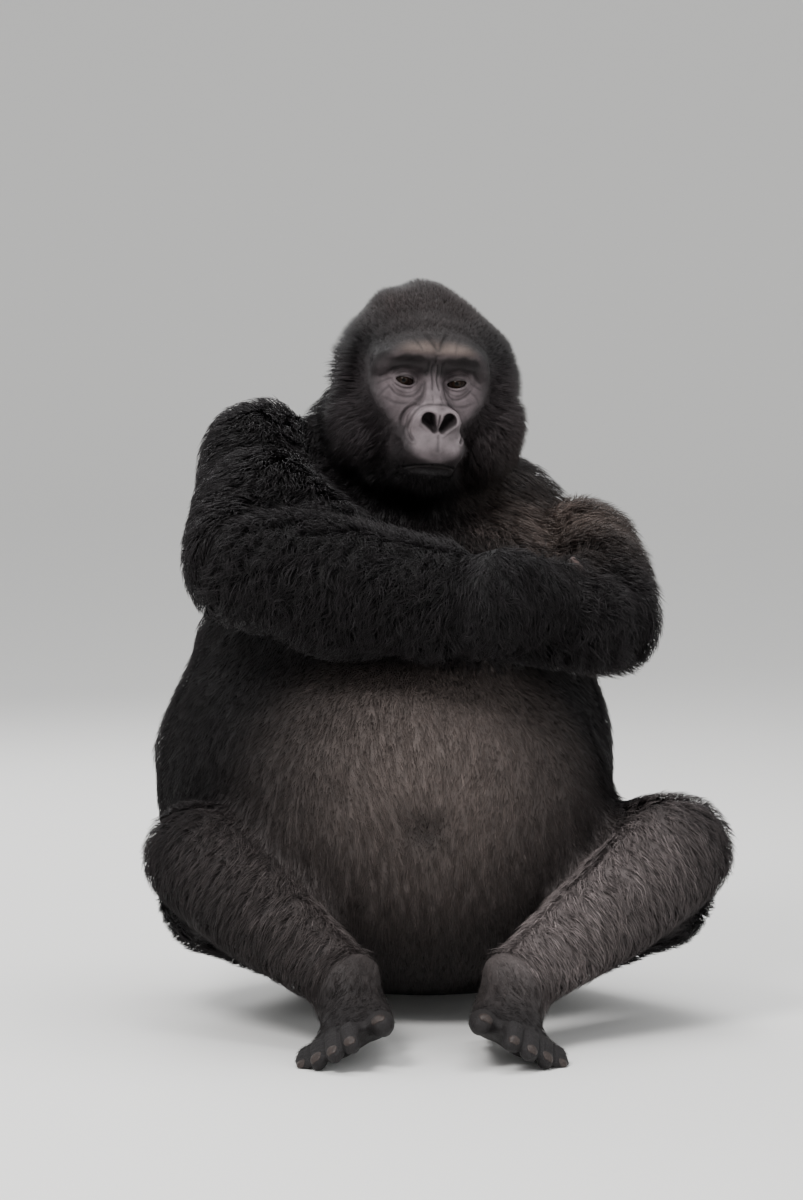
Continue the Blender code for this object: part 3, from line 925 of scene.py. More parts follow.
# ---------------------------------------------------------------- eyelids
@dataclass
class Lids:
    """Upper and lower lid of one eye, as rings that go from the face to the eye's edge and round behind it.

    Places are in millimetres about the middle of the eyeball: u away from the nose, v up, w forward.
    """

    radius: float = 13.6
    patch: Pair = (24.0, 21.0)
    patch_rise: float = 1.5
    tips: tuple[Pair, Pair] = ((-15.2, -2.6), (12.9, 1.6))
    upper: float = 5.9
    lower: float = 5.7
    behind: tuple[Pair, ...] = ((0.97, 0.24), (0.85, -0.53), (0.4, -0.92))

    def on_ball(self, u: Array, v: Array, rise: float) -> Array:
        """Puts flat places onto a shell round the eyeball, which bends away from it at the side.

        Args:
            u: the first numbers of the places.
            v: the second numbers.
            rise: how far the shell lies outside the eyeball.

        Returns:
            The places.
        """
        rho = self.radius + rise
        r, edge = np.hypot(u, v), 0.8 * rho
        ball = np.sqrt(np.maximum(rho ** 2 - np.minimum(r, edge) ** 2, 0))
        return np.stack([u, v, ball - 4.0 * (1 - np.exp(-np.maximum(r - edge, 0) / 3.0))], axis=1)

    def edge(self, angle: Array, grow: float = 0.0) -> tuple[Array, Array]:
        """The almond edge of the opening.

        Args:
            angle: the angle of each place round the eye.
            grow: how far outside the edge the places lie.

        Returns:
            The places, in u and v.
        """
        (u0, v0), (u1, v1) = self.tips
        u = (u0 + u1) / 2 + ((u1 - u0) / 2 + grow) * np.cos(angle)
        lift = np.where(np.sin(angle) > 0, self.upper + grow, self.lower + grow)
        v = v0 + (v1 - v0) * (u - u0) / (u1 - u0)
        return u, v + lift * np.sign(np.sin(angle)) * np.abs(np.sin(angle)) ** 1.25

    def rings(self, angle: Array, border: Array) -> Array:
        """The rings from the border inwards.

        Args:
            angle: the angle of each border point round the eye.
            border: the border points in u, v and w.

        Returns:
            The rings' points; the last ring lies behind the eyeball.
        """
        up, low = np.maximum(np.sin(angle), 0), np.maximum(-np.sin(angle), 0)
        fold_u = -0.6 + 18.6 * np.cos(angle)
        fold_v = 1.4 + np.where(np.sin(angle) > 0, 12.8, 11.5) * np.sin(angle)
        fold = self.on_ball(fold_u, fold_v, 0.6)
        fold[:, 2] += 0.6 * low
        puff = fold + 0.42 * (border - fold)
        puff[:, 2] += 1.6 * up ** 0.5 + 1.1 * low ** 0.5
        slope = fold + 0.75 * (border - fold)
        slope[:, 2] += 0.8 * up + 0.5 * low
        near_u, near_v = self.edge(angle, 1.6)
        edge_u, edge_v = self.edge(angle)
        bulge = self.on_ball(0.5 * (fold_u + near_u), 0.5 * (fold_v + near_v), 2.3)
        rim = self.on_ball(near_u, near_v, 2.0)
        lip = self.on_ball(edge_u, edge_v, 1.5)
        wet = self.on_ball(edge_u * 0.955, edge_v * 0.955, 0.25)
        outer = rounded_line(np.stack([border, slope, puff, fold, bulge, rim]), 3)
        circle = np.stack([np.cos(angle), np.sin(angle), np.zeros_like(angle)], axis=1)
        shell = self.radius + 0.4
        back = [circle * shell * k + np.array((0, 0, shell * w)) for k, w in self.behind]
        return np.concatenate([outer, np.stack([lip, wet, *back])])


class FootAxes:
    """A foot's own axes: across, towards the toes and upwards from the ankle, in metres."""

    ankles = {Side.RIGHT: (-0.114, -0.380, 0.082), Side.LEFT: (0.114, -0.372, 0.082)}
    shift = (-0.0111, 0.1505, -0.006)

    def __init__(self, side: Side) -> None:
        """Finds the axes of one foot.

        Args:
            side: which foot.
        """
        toes = Vector((side.value * 0.24, -0.97, -0.015)).normalized()
        sole = Vector((-side.value * 0.48, -0.02, -0.86))
        sole = (sole - toes * sole.dot(toes)).normalized()
        self.rows = np.array((toes.cross(sole), toes, -sole))
        self.ankle = np.array(self.ankles[side]) + np.array(self.shift)

    def inside(self, points: Array) -> Array:
        """World places in the foot's own axes."""
        return (points - self.ankle) @ self.rows.T

    def world(self, local: Array) -> Array:
        """Places in the foot's own axes as world places."""
        return self.ankle + local @ self.rows


class Skin:
    """One skin over the whole body, without a seam, inside the solids by the depth of the coat."""

    voxel = 4.4 * MM
    grow = 1.0 * MM
    body_triangles = 36000
    depths = {"head": 15, "neck": 20, "trunk": 18, "right_upper_arm": 25, "right_forearm": 26,
              "right_hand": 13, "left_upper_arm": 24, "left_forearm": 24, "left_hand": 5,
              "right_thigh": 18, "right_shin": 15, "right_foot": 4, "left_thigh": 18,
              "left_shin": 15, "left_foot": 4, "right_ear": 0, "left_ear": 0}
    belly_depth, back_depth, sole_depth, spot_depth = 11, 24, 0.5, 5.0
    crown_thinner = 8.5                # how much less deep the coat is on the crown than on the chin
    ear_half = (16.5, 24.5)            # half the width and the height of an ear
    bare_grey = (0.036, 0.029, 0.030)
    # the bare spot's pale pink, a painted highlight
    spot_pink = (0.190, 0.130, 0.120)

    def __init__(self, frame: HeadFrame, nodes: dict[str, Object]) -> None:
        """Keeps the head's frame and the solids that the skin follows.

        Args:
            frame: the head's frame.
            nodes: the solids by name.
        """
        self.frame = frame
        self.face = Face(frame)
        self.nodes = nodes
        faces: list[tuple[int, ...]] = []
        points: list[Vector] = []
        owners: list[int] = []
        for number, name in enumerate(FLESH):
            mesh = nodes[name].data
            start = len(points)
            points += [v.co.copy() for v in mesh.vertices]
            faces += [tuple(start + i for i in p.vertices) for p in mesh.polygons]
            owners += [number] * len(mesh.polygons)
        self.solids = BVHTree.FromPolygons(points, faces)
        self.owners = np.array(owners)

    def owner(self, points: Array) -> Array:
        """The number of the solid closest to each point."""
        return self.owners[nearest(self.solids, points)[2]]

    def merged(self) -> Object:
        """Makes copies of the solids of flesh one closed surface.

        Returns:
            The surface, still as large as the solids.
        """
        clear_selection()
        copies = [duplicate(self.nodes[name]) for name in FLESH]
        for copy in copies:
            with editing(copy.data) as build:
                bmesh.ops.remove_doubles(build, verts=build.verts, dist=2e-6)
                build.normal_update()
                for vertex in build.verts:
                    vertex.co += vertex.normal * self.grow
            copy.data.materials.clear()
        for copy in copies:
            copy.select_set(True)
        bpy.context.view_layer.objects.active = copies[0]
        bpy.ops.object.join()
        skin = bpy.context.object
        skin.name = skin.data.name = "skin"
        apply_modifier(skin, "REMESH", mode="VOXEL", voxel_size=self.voxel)
        return skin

    def coat_depth(self, points: Array, normals: Array, owner: Array) -> Array:
        """How deep the coat is over each place of the solids.

        Args:
            points: the places.
            normals: the surface's normals there.
            owner: the numbers of their solids.

        Returns:
            The depths, in metres.
        """
        depth = np.array([self.depths[name] for name in FLESH], float)[owner]
        trunk, head = is_part(owner, "trunk"), is_part(owner, "head")
        depth[trunk & (normals[:, 1] < -0.1) & (points[:, 2] < 0.60)] = self.belly_depth
        depth[trunk & (normals[:, 1] > 0.2)] = self.back_depth
        local = self.frame.inside(points)
        depth = np.where(head, depth - self.crown_thinner * step(0, 75, local[:, 2]), depth)
        depth = np.where(head, depth * (1 - step(-26, 2, self.face.bare(local))), depth)
        for name in FEET:
            front = points[:, 1] < box_of(name)[0][1] + 0.075
            depth[is_part(owner, name) & (front | (normals[:, 2] < -0.1))] = self.sole_depth
        depth[gap(points, BARE_SPOT) < 0.011] = self.spot_depth
        return depth * MM

    def build(self) -> Object:
        """Makes the skin, with the face modelled and the lids in it.

        Returns:
            The skin, not yet coloured.
        """
        skin = self.obj = self.merged()
        mesh = skin.data
        log.info("skin merged: %d vertices", len(mesh.vertices))
        points, edges = points_of(mesh), edges_of(mesh)
        owner = self.owner(points)
        local = self.frame.inside(points)
        head = is_part(owner, "head")
        fine = is_part(owner, *FEET, *EARS, "right_hand") | (head & (self.face.bare(local) > -12))
        close = spread(np.where(fine, 1.0, 0.0), edges, 3)
        normals = unit(spread(normals_of(mesh), edges, 4))
        depth = spread(self.coat_depth(points, normals, owner), edges, 10)
        mouth = bell(local[:, 2] + 92, 18) * step(-70, -95, local[:, 1]) * head
        for rounds, weight in ((46, 1 - close), (5, close), (14, mouth)):
            points += (spread(points, edges, rounds) - points) * weight[:, None]
        move_points(mesh, points)
        normals = unit(spread(normals_of(mesh), edges, 6))
        points -= normals * (depth + self.grow)[:, None]
        points += (spread(points, edges, 8) - points) * (1 - close)[:, None]
        points += np.array((0, 0.015, 0)) * bell(gap(points, NAVEL), 0.022)[:, None]
        points[:, 2] = np.maximum(points[:, 2], 0.0004)
        move_points(mesh, points)
        self.thin_body(skin, close)
        log.info("skin thinned: %d vertices", len(mesh.vertices))
        self.refine(mesh)
        log.info("skin refined: %d vertices", len(mesh.vertices))
        points = points_of(mesh)
        for shape in (self.face.sculpt, self.shape_ears, self.part_toes):
            points = shape(points, normals_of(mesh))
        move_points(mesh, points)
        for side in Side:
            self.set_lids(mesh, side)
        mesh.shade_smooth()
        return skin

    def shape_ears(self, points: Array, normals: Array) -> Array:
        """Gives each ear its rolled rim, its inner fold and its hollow.

        Args:
            points: world places of the skin.
            normals: the skin's normals there.

        Returns:
            The new world places.
        """
        result = points.copy()
        for side in Side:
            near, away, ring = self.at_ear(points, side)
            outward = side.value * self.frame.axes[:, 0]
            push = 2.6 * bell(ring - 0.88, 0.15) - 3.4 * bell(ring - 0.63, 0.12) * step(6, -6, -away[:, 1])
            push += 2.2 * bell(ring - 0.44, 0.11) * step(-6, 4, away[:, 1])
            push -= 9.0 * self.ear_hollow(away)
            push = push * step(0.0, 0.5, normals[near] @ outward)
            push -= (0.42 * np.maximum(away[:, 0] + 6, 0) + 1.4) * step(1.5, 0.9, ring)
            result[near] += outward * push[:, None] * MM
        return result

    def at_ear(self, points: Array, side: Side) -> tuple[Array, Array, Array]:
        """Where places lie in an ear.

        Args:
            points: world places.
            side: which ear.

        Returns:
            Which of them are near it, their places about its middle in millimetres
            (outwards, backwards and up), and how far out they lie, 1 at its edge.
        """
        low, high = box_of(f"{side}_ear")
        near = within(points, low, high, 0.004)
        away = (points[near] - (low + high) / 2) @ self.frame.axes * 1000 * (side.value, 1, 1)
        return near, away, np.hypot(away[:, 1] / self.ear_half[0], away[:, 2] / self.ear_half[1])

    def ear_hollow(self, away: Array) -> Array:
        """How far into the hollow of the ear each place lies, from 0 to 1."""
        return bell(np.hypot((away[:, 1] + 3.5) / 6.5, (away[:, 2] + 4) / 10.0), 1.0)

    def part_toes(self, points: Array, normals: Array) -> Array:
        """Deepens the gaps between the toes and the folds across them.

        Args:
            points: world places of the skin.
            normals: the skin's normals there.

        Returns:
            The new world places.
        """
        result = points.copy()
        for side in Side:
            local = FootAxes(side).inside(points)
            near = (np.abs(local[:, 0]) < 0.09) & (local[:, 1] > 0.085) & (np.abs(local[:, 2] + 0.055) < 0.05)
            x, y = local[near, 0] * -side.value * 1000, local[near, 1] * 1000
            t = np.maximum(y - 122, 0) / 70
            sink = np.zeros(len(x))
            for i in range(3):
                middle = 26 - 22.5 * (i + 0.5) - 7 * (i - 0.5) * t
                sink += 4.2 * bell(x - middle, 2.6) * step(116, 136, y)
            for place in (138, 144, 149.5, 163, 168):
                sink += 0.75 * bell(y - place + 0.004 * (x - 5) ** 2, 1.5) * step(42, 36, x)
            result[near] -= normals[near] * sink[:, None] * MM
        return result

    def thin_body(self, skin: Object, close: Array) -> None:
        """Takes triangles out where the coat hides the skin.

        Args:
            skin: the skin.
            close: 1 where the skin shows and stays as fine as it is.
        """
        group = skin.vertex_groups.new(name="thin")
        thin = step(0.5, 0.05, close)
        for level in np.unique(np.round(thin, 1)):
            if level > 0:
                group.add(np.flatnonzero(np.round(thin, 1) == level).tolist(), float(level), "REPLACE")
        kept = self.body_triangles + 2 * float((thin < 0.5).sum())
        apply_modifier(skin, "DECIMATE", ratio=min(kept / (len(skin.data.polygons) * 2), 1.0),
                       vertex_group="thin", vertex_group_factor=1.0)
        skin.vertex_groups.clear()

    def refine(self, mesh: Mesh) -> None:
        """Cuts the face, the feet and the ears into finer faces, and the middle of the face once more."""
        for middle_only in (False, True):
            points = points_of(mesh)
            local = self.frame.inside(points)
            chosen = (self.face.bare(local) > (3 if middle_only else -8)) & (local[:, 1] < -62)
            if middle_only:
                chosen &= (np.abs(local[:, 0]) < 56) & (np.abs(local[:, 2] + 24) < 86)
            else:
                for name in EARS:
                    chosen |= within(points, *box_of(name), 0.003)
                for name in FEET:
                    low, high = box_of(name)
                    high[1] = low[1] + 0.105
                    chosen |= within(points, low - 0.003, high)
            with editing(mesh) as build:
                build.verts.ensure_lookup_table()
                cut = [e for e in build.edges if chosen[e.verts[0].index] and chosen[e.verts[1].index]]
                made = bmesh.ops.subdivide_edges(build, edges=cut, cuts=1, use_grid_fill=True)
                fresh = [v for v in made["geom_inner"] if isinstance(v, bmesh.types.BMVert)]
                relax(build, list(dict.fromkeys(w for v in fresh for e in v.link_edges for w in e.verts)), 2)
                bmesh.ops.triangulate(build, faces=[f for f in build.faces if len(f.verts) > 4])

    def set_lids(self, mesh: Mesh, side: Side) -> None:
        """Cuts the skin open round an eye and fills the hole with the lids, joined to it all round.

        The lean starts just behind the front of the eyes, so the lids are set without it.

        Args:
            mesh: the skin's mesh.
            side: which eye.
        """
        lids, frame, mirror = Lids(), self.frame, side.value
        centre = frame.eye_centre(side)

        def to_eye(points: Array) -> Array:
            """World places as u, v and w."""
            away = frame.straight(points) - centre
            return np.stack([away[:, 0] * mirror, away[:, 2], -away[:, 1]], axis=1)

        def to_world(places: Array) -> Array:
            """Places in u, v and w as world places."""
            away = np.stack([places[:, 0] * mirror, -places[:, 2], places[:, 1]], axis=1)
            return (away + centre) * MM @ frame.axes.T + frame.origin

        flat = to_eye(points_of(mesh))
        near = np.hypot(flat[:, 0] / lids.patch[0], (flat[:, 1] - lids.patch_rise) / lids.patch[1]) < 1
        near &= flat[:, 2] > -26
        with editing(mesh) as build:
            build.verts.ensure_lookup_table()
            bmesh.ops.delete(build, geom=[build.verts[i] for i in np.flatnonzero(near)], context="VERTS")
            loop = self.open_edge(build, Vector(to_world(np.array([[0, 0, 8.0]]))[0]))
            border = to_eye(np.array([v.co for v in loop]))
            angle = np.unwrap(np.arctan2((border[:, 1] - lids.patch_rise) / lids.patch[1],
                                         border[:, 0] / lids.patch[0]))
            if angle[-1] < angle[0]:
                loop.reverse()
                border, angle = border[::-1], angle[::-1]
            count = len(loop)
            for _ in range(6):
                border = 0.5 * border + 0.25 * (np.roll(border, 1, 0) + np.roll(border, -1, 0))
            even = angle[0] + np.arange(count) / count * 2 * np.pi
            angle = 0.5 * np.maximum.accumulate(angle) + 0.5 * (even + (angle - even).mean())
            for vertex, place in zip(loop, to_world(border)):
                vertex.co = place
            previous, joint = loop, list(loop)
            for number, ring in enumerate(lids.rings(angle, border)[1:], 1):
                fresh = [build.verts.new(p) for p in to_world(ring)]
                for i in range(count):
                    j = (i + 1) % count
                    build.faces.new((previous[i], previous[j], fresh[j], fresh[i]))
                if number < 3:
                    joint += fresh
                previous = fresh
            tip = build.verts.new(to_world(np.array([[0, 0, -lids.radius - 0.4]]))[0])
            for i in range(count):
                build.faces.new((previous[i], previous[(i + 1) % count], tip))
            joint += [w for v in loop for e in v.link_edges for w in e.verts]
            relax(build, list(dict.fromkeys(joint)), 3)
            bmesh.ops.recalc_face_normals(build, faces=build.faces)

    def open_edge(self, build: bmesh.types.BMesh, centre: Vector) -> list[bmesh.types.BMVert]:
        """Finds the open edge round a hole and closes the smaller holes beside it.

        Args:
            build: the mesh with the hole.
            centre: the middle of the hole.

        Returns:
            The vertices of the longest open loop there, in order.
        """
        while True:
            rough = [v for v in build.verts if v.is_boundary and sum(e.is_boundary for e in v.link_edges) > 2]
            if not rough:
                break
            bmesh.ops.delete(build, geom=rough, context="VERTS")
        bmesh.ops.delete(build, geom=[v for v in build.verts if not v.link_faces], context="VERTS")
        left = dict.fromkeys(v for v in build.verts if v.is_boundary and (v.co - centre).length < 0.045)
        loops = []
        while left:
            loop = [next(iter(left))]
            del left[loop[0]]
            while True:
                ahead = [e.other_vert(loop[-1]) for e in loop[-1].link_edges if e.is_boundary]
                ahead = [v for v in ahead if v in left]
                if not ahead:
                    break
                del left[ahead[0]]
                loop.append(ahead[0])
            loops.append(loop)
        loops.sort(key=len)
        for loop in loops[:-1]:
            bmesh.ops.contextual_create(build, geom=loop)
        return loops[-1]

    def dress(self, coat_colour: Callable[[Array], Array]) -> None:
        """Stores the skin's colours and gives it its finish.

        Args:
            coat_colour: the colour of the coat over each place, painted sheen and shade included, as a
                function of places.
        """
        mesh = self.obj.data
        points, edges = points_of(mesh), edges_of(mesh)
        local = self.frame.inside(points)
        extra = np.zeros(len(points))
        for name in FEET:
            extra[within(points, *box_of(name), 0.002)] = 1
        for side in Side:
            near, _, ring = self.at_ear(points, side)
            extra[near] = step(1.12, 0.95, ring)
        extra = spread(extra, edges, 4) * (local[:, 1] > -60)
        bare = spread(step(-4, 15, self.face.bare(local)), edges, 2)
        colour = np.clip(coat_colour(points) * 0.75, 0.006, 1)
        colour += bare[:, None] * (self.face.colour(local) - colour)
        mix(colour, extra, self.bare_grey)
        for side in Side:
            near, away, ring = self.at_ear(points, side)
            # painted shade in the hollow and the inner fold of each ear
            deep = np.maximum(0.85 * self.ear_hollow(away), 0.6 * bell(ring - 0.63, 0.10))
            colour[near] *= (1 - deep)[:, None]
        # the bare spot painted pale pink as a highlight
        mix(colour, 0.9 * bell(gap(points, BARE_SPOT), 0.009), self.spot_pink)
        paint(mesh, "Marking", colour)
        pad = step(38, 28, np.abs(local[:, 0])) * step(0, -14, local[:, 2]) * step(-80, -66, local[:, 2])
        pad *= step(-124, -140, local[:, 1])
        straight = self.frame.straight(points)
        ball = np.maximum(*(step(19, 16, gap(straight, self.frame.eye_centre(side))) for side in Side))
        gloss = np.clip(0.75 * pad + 0.55 * ball + 0.15 * bare, 0, 1)
        gloss *= step(1.5, -1.5, self.face.nostril.inside(local))
        paint(mesh, "Shine", np.stack([gloss, np.maximum(bare, extra), ball], axis=1))
        mesh.materials.clear()
        mesh.materials.append(SkinFinish().make())
        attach(self.obj, "root")
        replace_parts(self.obj, *FLESH)
        self.obj
        log.info("skin: %d faces", len(mesh.polygons))


# ---------------------------------------------------------------- eyes
@dataclass
class Eye:
    """One eyeball with a slightly domed front, turned to where the animal looks."""

    side: Side
    radius: float = 13.45
    dome: float = 1.1
    gaze: Triple = (0.02, -1.0, -0.02)
    around: int = 48
    rings: int = 44

    def build(self, material: Material) -> None:
        """Makes the eyeball.

        Args:
            material: its finish.
        """
        node = f"{self.side}_eye"
        low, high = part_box(node)
        rest = Vector(self.gaze).normalized().to_track_quat("Z", "Y").to_matrix()
        clear_selection()
        bpy.ops.mesh.primitive_uv_sphere_add(segments=self.around, ring_count=self.rings, radius=1.0)
        ball = bpy.context.object
        ball.name = ball.data.name = f"eye_{self.side}"
        points = points_of(ball.data)
        angle = np.degrees(np.arccos(np.clip(points[:, 2], -1, 1)))
        tight = 180 * (angle / 180) ** 1.35
        flat = unit(np.where(np.hypot(points[:, 0], points[:, 1])[:, None] > 1e-6, points * (1, 1, 0),
                             np.zeros(3)))
        swept = np.radians(tight)
        points = flat * np.sin(swept)[:, None] + np.array((0, 0, 1)) * np.cos(swept)[:, None]
        points *= (self.radius + self.dome * (1 - step(10, 34, tight)))[:, None] * MM
        move_points(ball.data, points @ np.array(rest).T + np.array((low + high) / 2))
        layer = ball.data.attributes.new("Angle", "FLOAT", "POINT")
        layer.data.foreach_set("value", tight.astype(np.float32))
        ball.data.shade_smooth()
        ball.data.materials.append(material)
        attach(ball, "root")
        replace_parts(ball, node)
        log.info("%s: %d faces", ball.name, len(ball.data.polygons))


# ---------------------------------------------------------------- nails
@dataclass(frozen=True)
class Toe:
    """The last joint of a toe: its end and thickness in the foot's own axes, in metres."""

    end: Triple
    radius: float


class Nails:
    """The nails of both feet, each a curved plate that lies on its toe."""

    across = 9
    along = 8
    reach = 0.035        # from how far off the toe's skin is looked for, in metres
    sunk = 0.0014
    widest = 44          # half the width of the plate, in degrees round the toe

    def __init__(self, skin: Skin) -> None:
        """Keeps the finished skin, which the nails lie on."""
        self.tree = tree_of(skin.obj.data)

    def toes(self, side: Side) -> list[Toe]:
        """Places the toes of a foot.

        Args:
            side: which foot.

        Returns:
            The five toes, the big toe first.
        """
        inner = -side.value
        toes = [Toe((inner * 0.070, 0.150, -0.055), 0.0175)]
        for i in range(4):
            x = inner * (0.026 - 0.0225 * i) - inner * 0.007 * (i - 1)
            toes.append(Toe((x, 0.192 - 0.007 * i - 0.007 * abs(i - 1), -0.060), 0.0130))
        return toes

    def plate(self, toe: Toe, foot: FootAxes) -> tuple[Array, Array]:
        """One nail as a closed curved plate.

        Args:
            toe: the toe.
            foot: the foot's own axes.

        Returns:
            The points and the four-cornered faces.
        """
        aside, ahead, up = foot.rows
        middle = foot.world(np.array(toe.end))
        top, bottom = [], []
        for v in np.linspace(0, 1, self.along):
            tilt = math.radians(2 + 50 * v)
            rounding = 0.60 + 0.40 * math.sin(math.pi / 2 * min(1.0, v / 0.4))
            half = self.widest * rounding * (1 - 0.2 * max(0.0, v - 0.75) * 4)
            for u in np.linspace(-1, 1, self.across):
                turn = math.radians(half * u)
                way = (up * math.cos(tilt) + ahead * math.sin(tilt)) * math.cos(turn) + aside * math.sin(turn)
                centre = middle - ahead * (0.55 * toe.radius * (1 - v) * (1 - 0.3 * u * u))
                start = centre + way * self.reach
                hit = self.tree.ray_cast(Vector(start), Vector(-way), self.reach + 0.01)[0]
                if hit is None:
                    hit = self.tree.find_nearest(Vector(centre + way * 0.7 * toe.radius))[0]
                place = np.array(hit)
                proud = (-0.0006 + 0.0019 * min(1.0, 2.6 * v)) * (1 - 0.45 * u ** 4)
                top.append(place + way * proud)
                bottom.append(place - way * self.sunk)
        n, m = self.across, self.along
        under = n * m
        faces = []
        for j in range(m - 1):
            for a in range(j * n, j * n + n - 1):
                faces.append((a, a + 1, a + n + 1, a + n))
                faces.append((a + under, a + under + n, a + under + n + 1, a + under + 1))
        rim = [*range(n), *range(2 * n - 1, under, n), *range(under - 2, under - n - 1, -1),
               *range(under - 2 * n, 0, -n)]
        faces += [(a, a + under, b + under, b) for a, b in zip(rim, rim[1:] + rim[:1])]
        return np.array(top + bottom), np.array(faces)

    def build(self, side: Side, material: Material) -> None:
        """Makes the nails of one foot as one piece.

        Args:
            side: which foot.
            material: their finish.
        """
        foot = FootAxes(side)
        points, faces, start = [], [], 0
        for toe in self.toes(side):
            made = self.plate(toe, foot)
            points.append(made[0])
            faces.append(made[1] + start)
            start += len(made[0])
        nails = new_piece(f"nails_{side}_foot", np.concatenate(points), np.concatenate(faces))
        with editing(nails.data) as build:
            bmesh.ops.recalc_face_normals(build, faces=build.faces)
        apply_modifier(nails, "SUBSURF", levels=1)
        nails.data.materials.append(material)
        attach(nails, "root")


# ---------------------------------------------------------------- coat
@dataclass(frozen=True)
class Limb:
    """A limb part by its two ends, in metres, and how its hair hangs."""

    start: Triple
    end: Triple
    along: float
    hang: Triple

    def lie(self) -> Array:
        """The way that the hair runs."""
        way = np.array(self.end) - np.array(self.start)
        return self.along * way / np.linalg.norm(way) + np.array(self.hang)


LIMBS = {
    "right_upper_arm": Limb((-.232, .105, .768), (-.262, -.225, .648), 0.30, (-0.42, 0, -0.85)),
    "right_forearm": Limb((.060, -.300, .600), (-.262, -.225, .648), 0.35, (0, 0, -0.85)),
    "right_hand": Limb((.060, -.300, .600), (.162, -.262, .606), 0.05, (0, 0, -0.85)),
    "left_upper_arm": Limb((.205, .105, .622), (.244, -.190, .562), 0.45, (0.55, 0, -0.50)),
    "left_forearm": Limb((-.050, -.200, .590), (.244, -.190, .562), 0.40, (0, 0, -0.80)),
    "left_hand": Limb((-.050, -.200, .590), (-.135, -.155, .590), 0.8, (0, 0, -0.20)),
    "right_thigh": Limb((-.150, .060, .135), (-.318, -.175, .240), 0.9, (0, 0, -0.45)),
    "left_thigh": Limb((.150, .060, .135), (.340, -.185, .250), 0.9, (0, 0, -0.45)),
    "right_shin": Limb((-.318, -.175, .240), (-.114, -.380, .098), 0.12, (-0.50, 0, -0.80)),
    "left_shin": Limb((.340, -.185, .250), (.114, -.372, .098), 0.12, (0.50, 0, -0.80)),
    "right_foot": Limb((-.114, -.380, .098), (-.150, -.520, .060), 0.9, (-0.25, 0, -0.25)),
    "left_foot": Limb((.114, -.372, .098), (.150, -.512, .060), 0.9, (0.25, 0, -0.25)),
}


@dataclass(frozen=True)
class Growth:
    """How the coat grows in one part: spacing, length and width of the tufts in millimetres,
    how much they gather in locks, how much they curl, in millimetres, and how far they turn aside,
    in degrees. A table of it has these columns in this order."""

    spacing: float
    length: float
    width: float
    lock: float
    curl: float
    stray: float


SPACING, LENGTH, WIDTH, LOCK, CURL, STRAY = range(6)
BELLY = Growth(3.15, 25, 0.95, 0.35, 1.2, 10)
CHEEK = Growth(1.9, 27, 0.8, 0.32, 1.4, 11)
SAME_ON_BOTH_SIDES = {
    "thigh": Growth(4.5, 40, 1.7, 0.40, 2.4, 16),
    "shin": Growth(4.0, 36, 1.35, 0.40, 1.8, 12),
    "foot": Growth(3.8, 18, 1.2, 0.25, 0.8, 14),
    "ear": Growth(1.8, 12, 0.66, 0.1, 0.5, 12),
}
GROWTH = {
    "head": Growth(1.55, 14.5, 0.66, 0.18, 0.5, 8),
    "neck": Growth(3.9, 38, 1.5, 0.35, 2.5, 14),
    "trunk": Growth(4.5, 42, 1.7, 0.35, 2.0, 12),
    "right_upper_arm": Growth(4.2, 42, 2.2, 0.45, 3.6, 22),
    "right_forearm": Growth(3.85, 37, 1.55, 0.50, 5.0, 34),
    "right_hand": Growth(3.85, 36, 1.5, 0.50, 4.4, 30),
    "left_upper_arm": Growth(4.0, 40, 1.5, 0.35, 2.2, 14),
    "left_forearm": Growth(3.85, 37, 1.55, 0.50, 4.8, 32),
    "left_hand": Growth(4.2, 18, 1.4, 0.30, 1.2, 14),
    **{f"{side}_{part}": growth for side in Side for part, growth in SAME_ON_BOTH_SIDES.items()},
}

PIECES = {
    "head": ("head", *EARS),
    "neck": ("neck",),
    "trunk": ("trunk",),
    "right_upper_arm": ("right_upper_arm",),
    "right_forearm": ("right_forearm", "right_hand"),
    "left_upper_arm": ("left_upper_arm",),
    "left_forearm": ("left_forearm", "left_hand"),
    "right_leg": ("right_thigh", "right_shin", "right_foot"),
    "left_leg": ("left_thigh", "left_shin", "left_foot"),
}


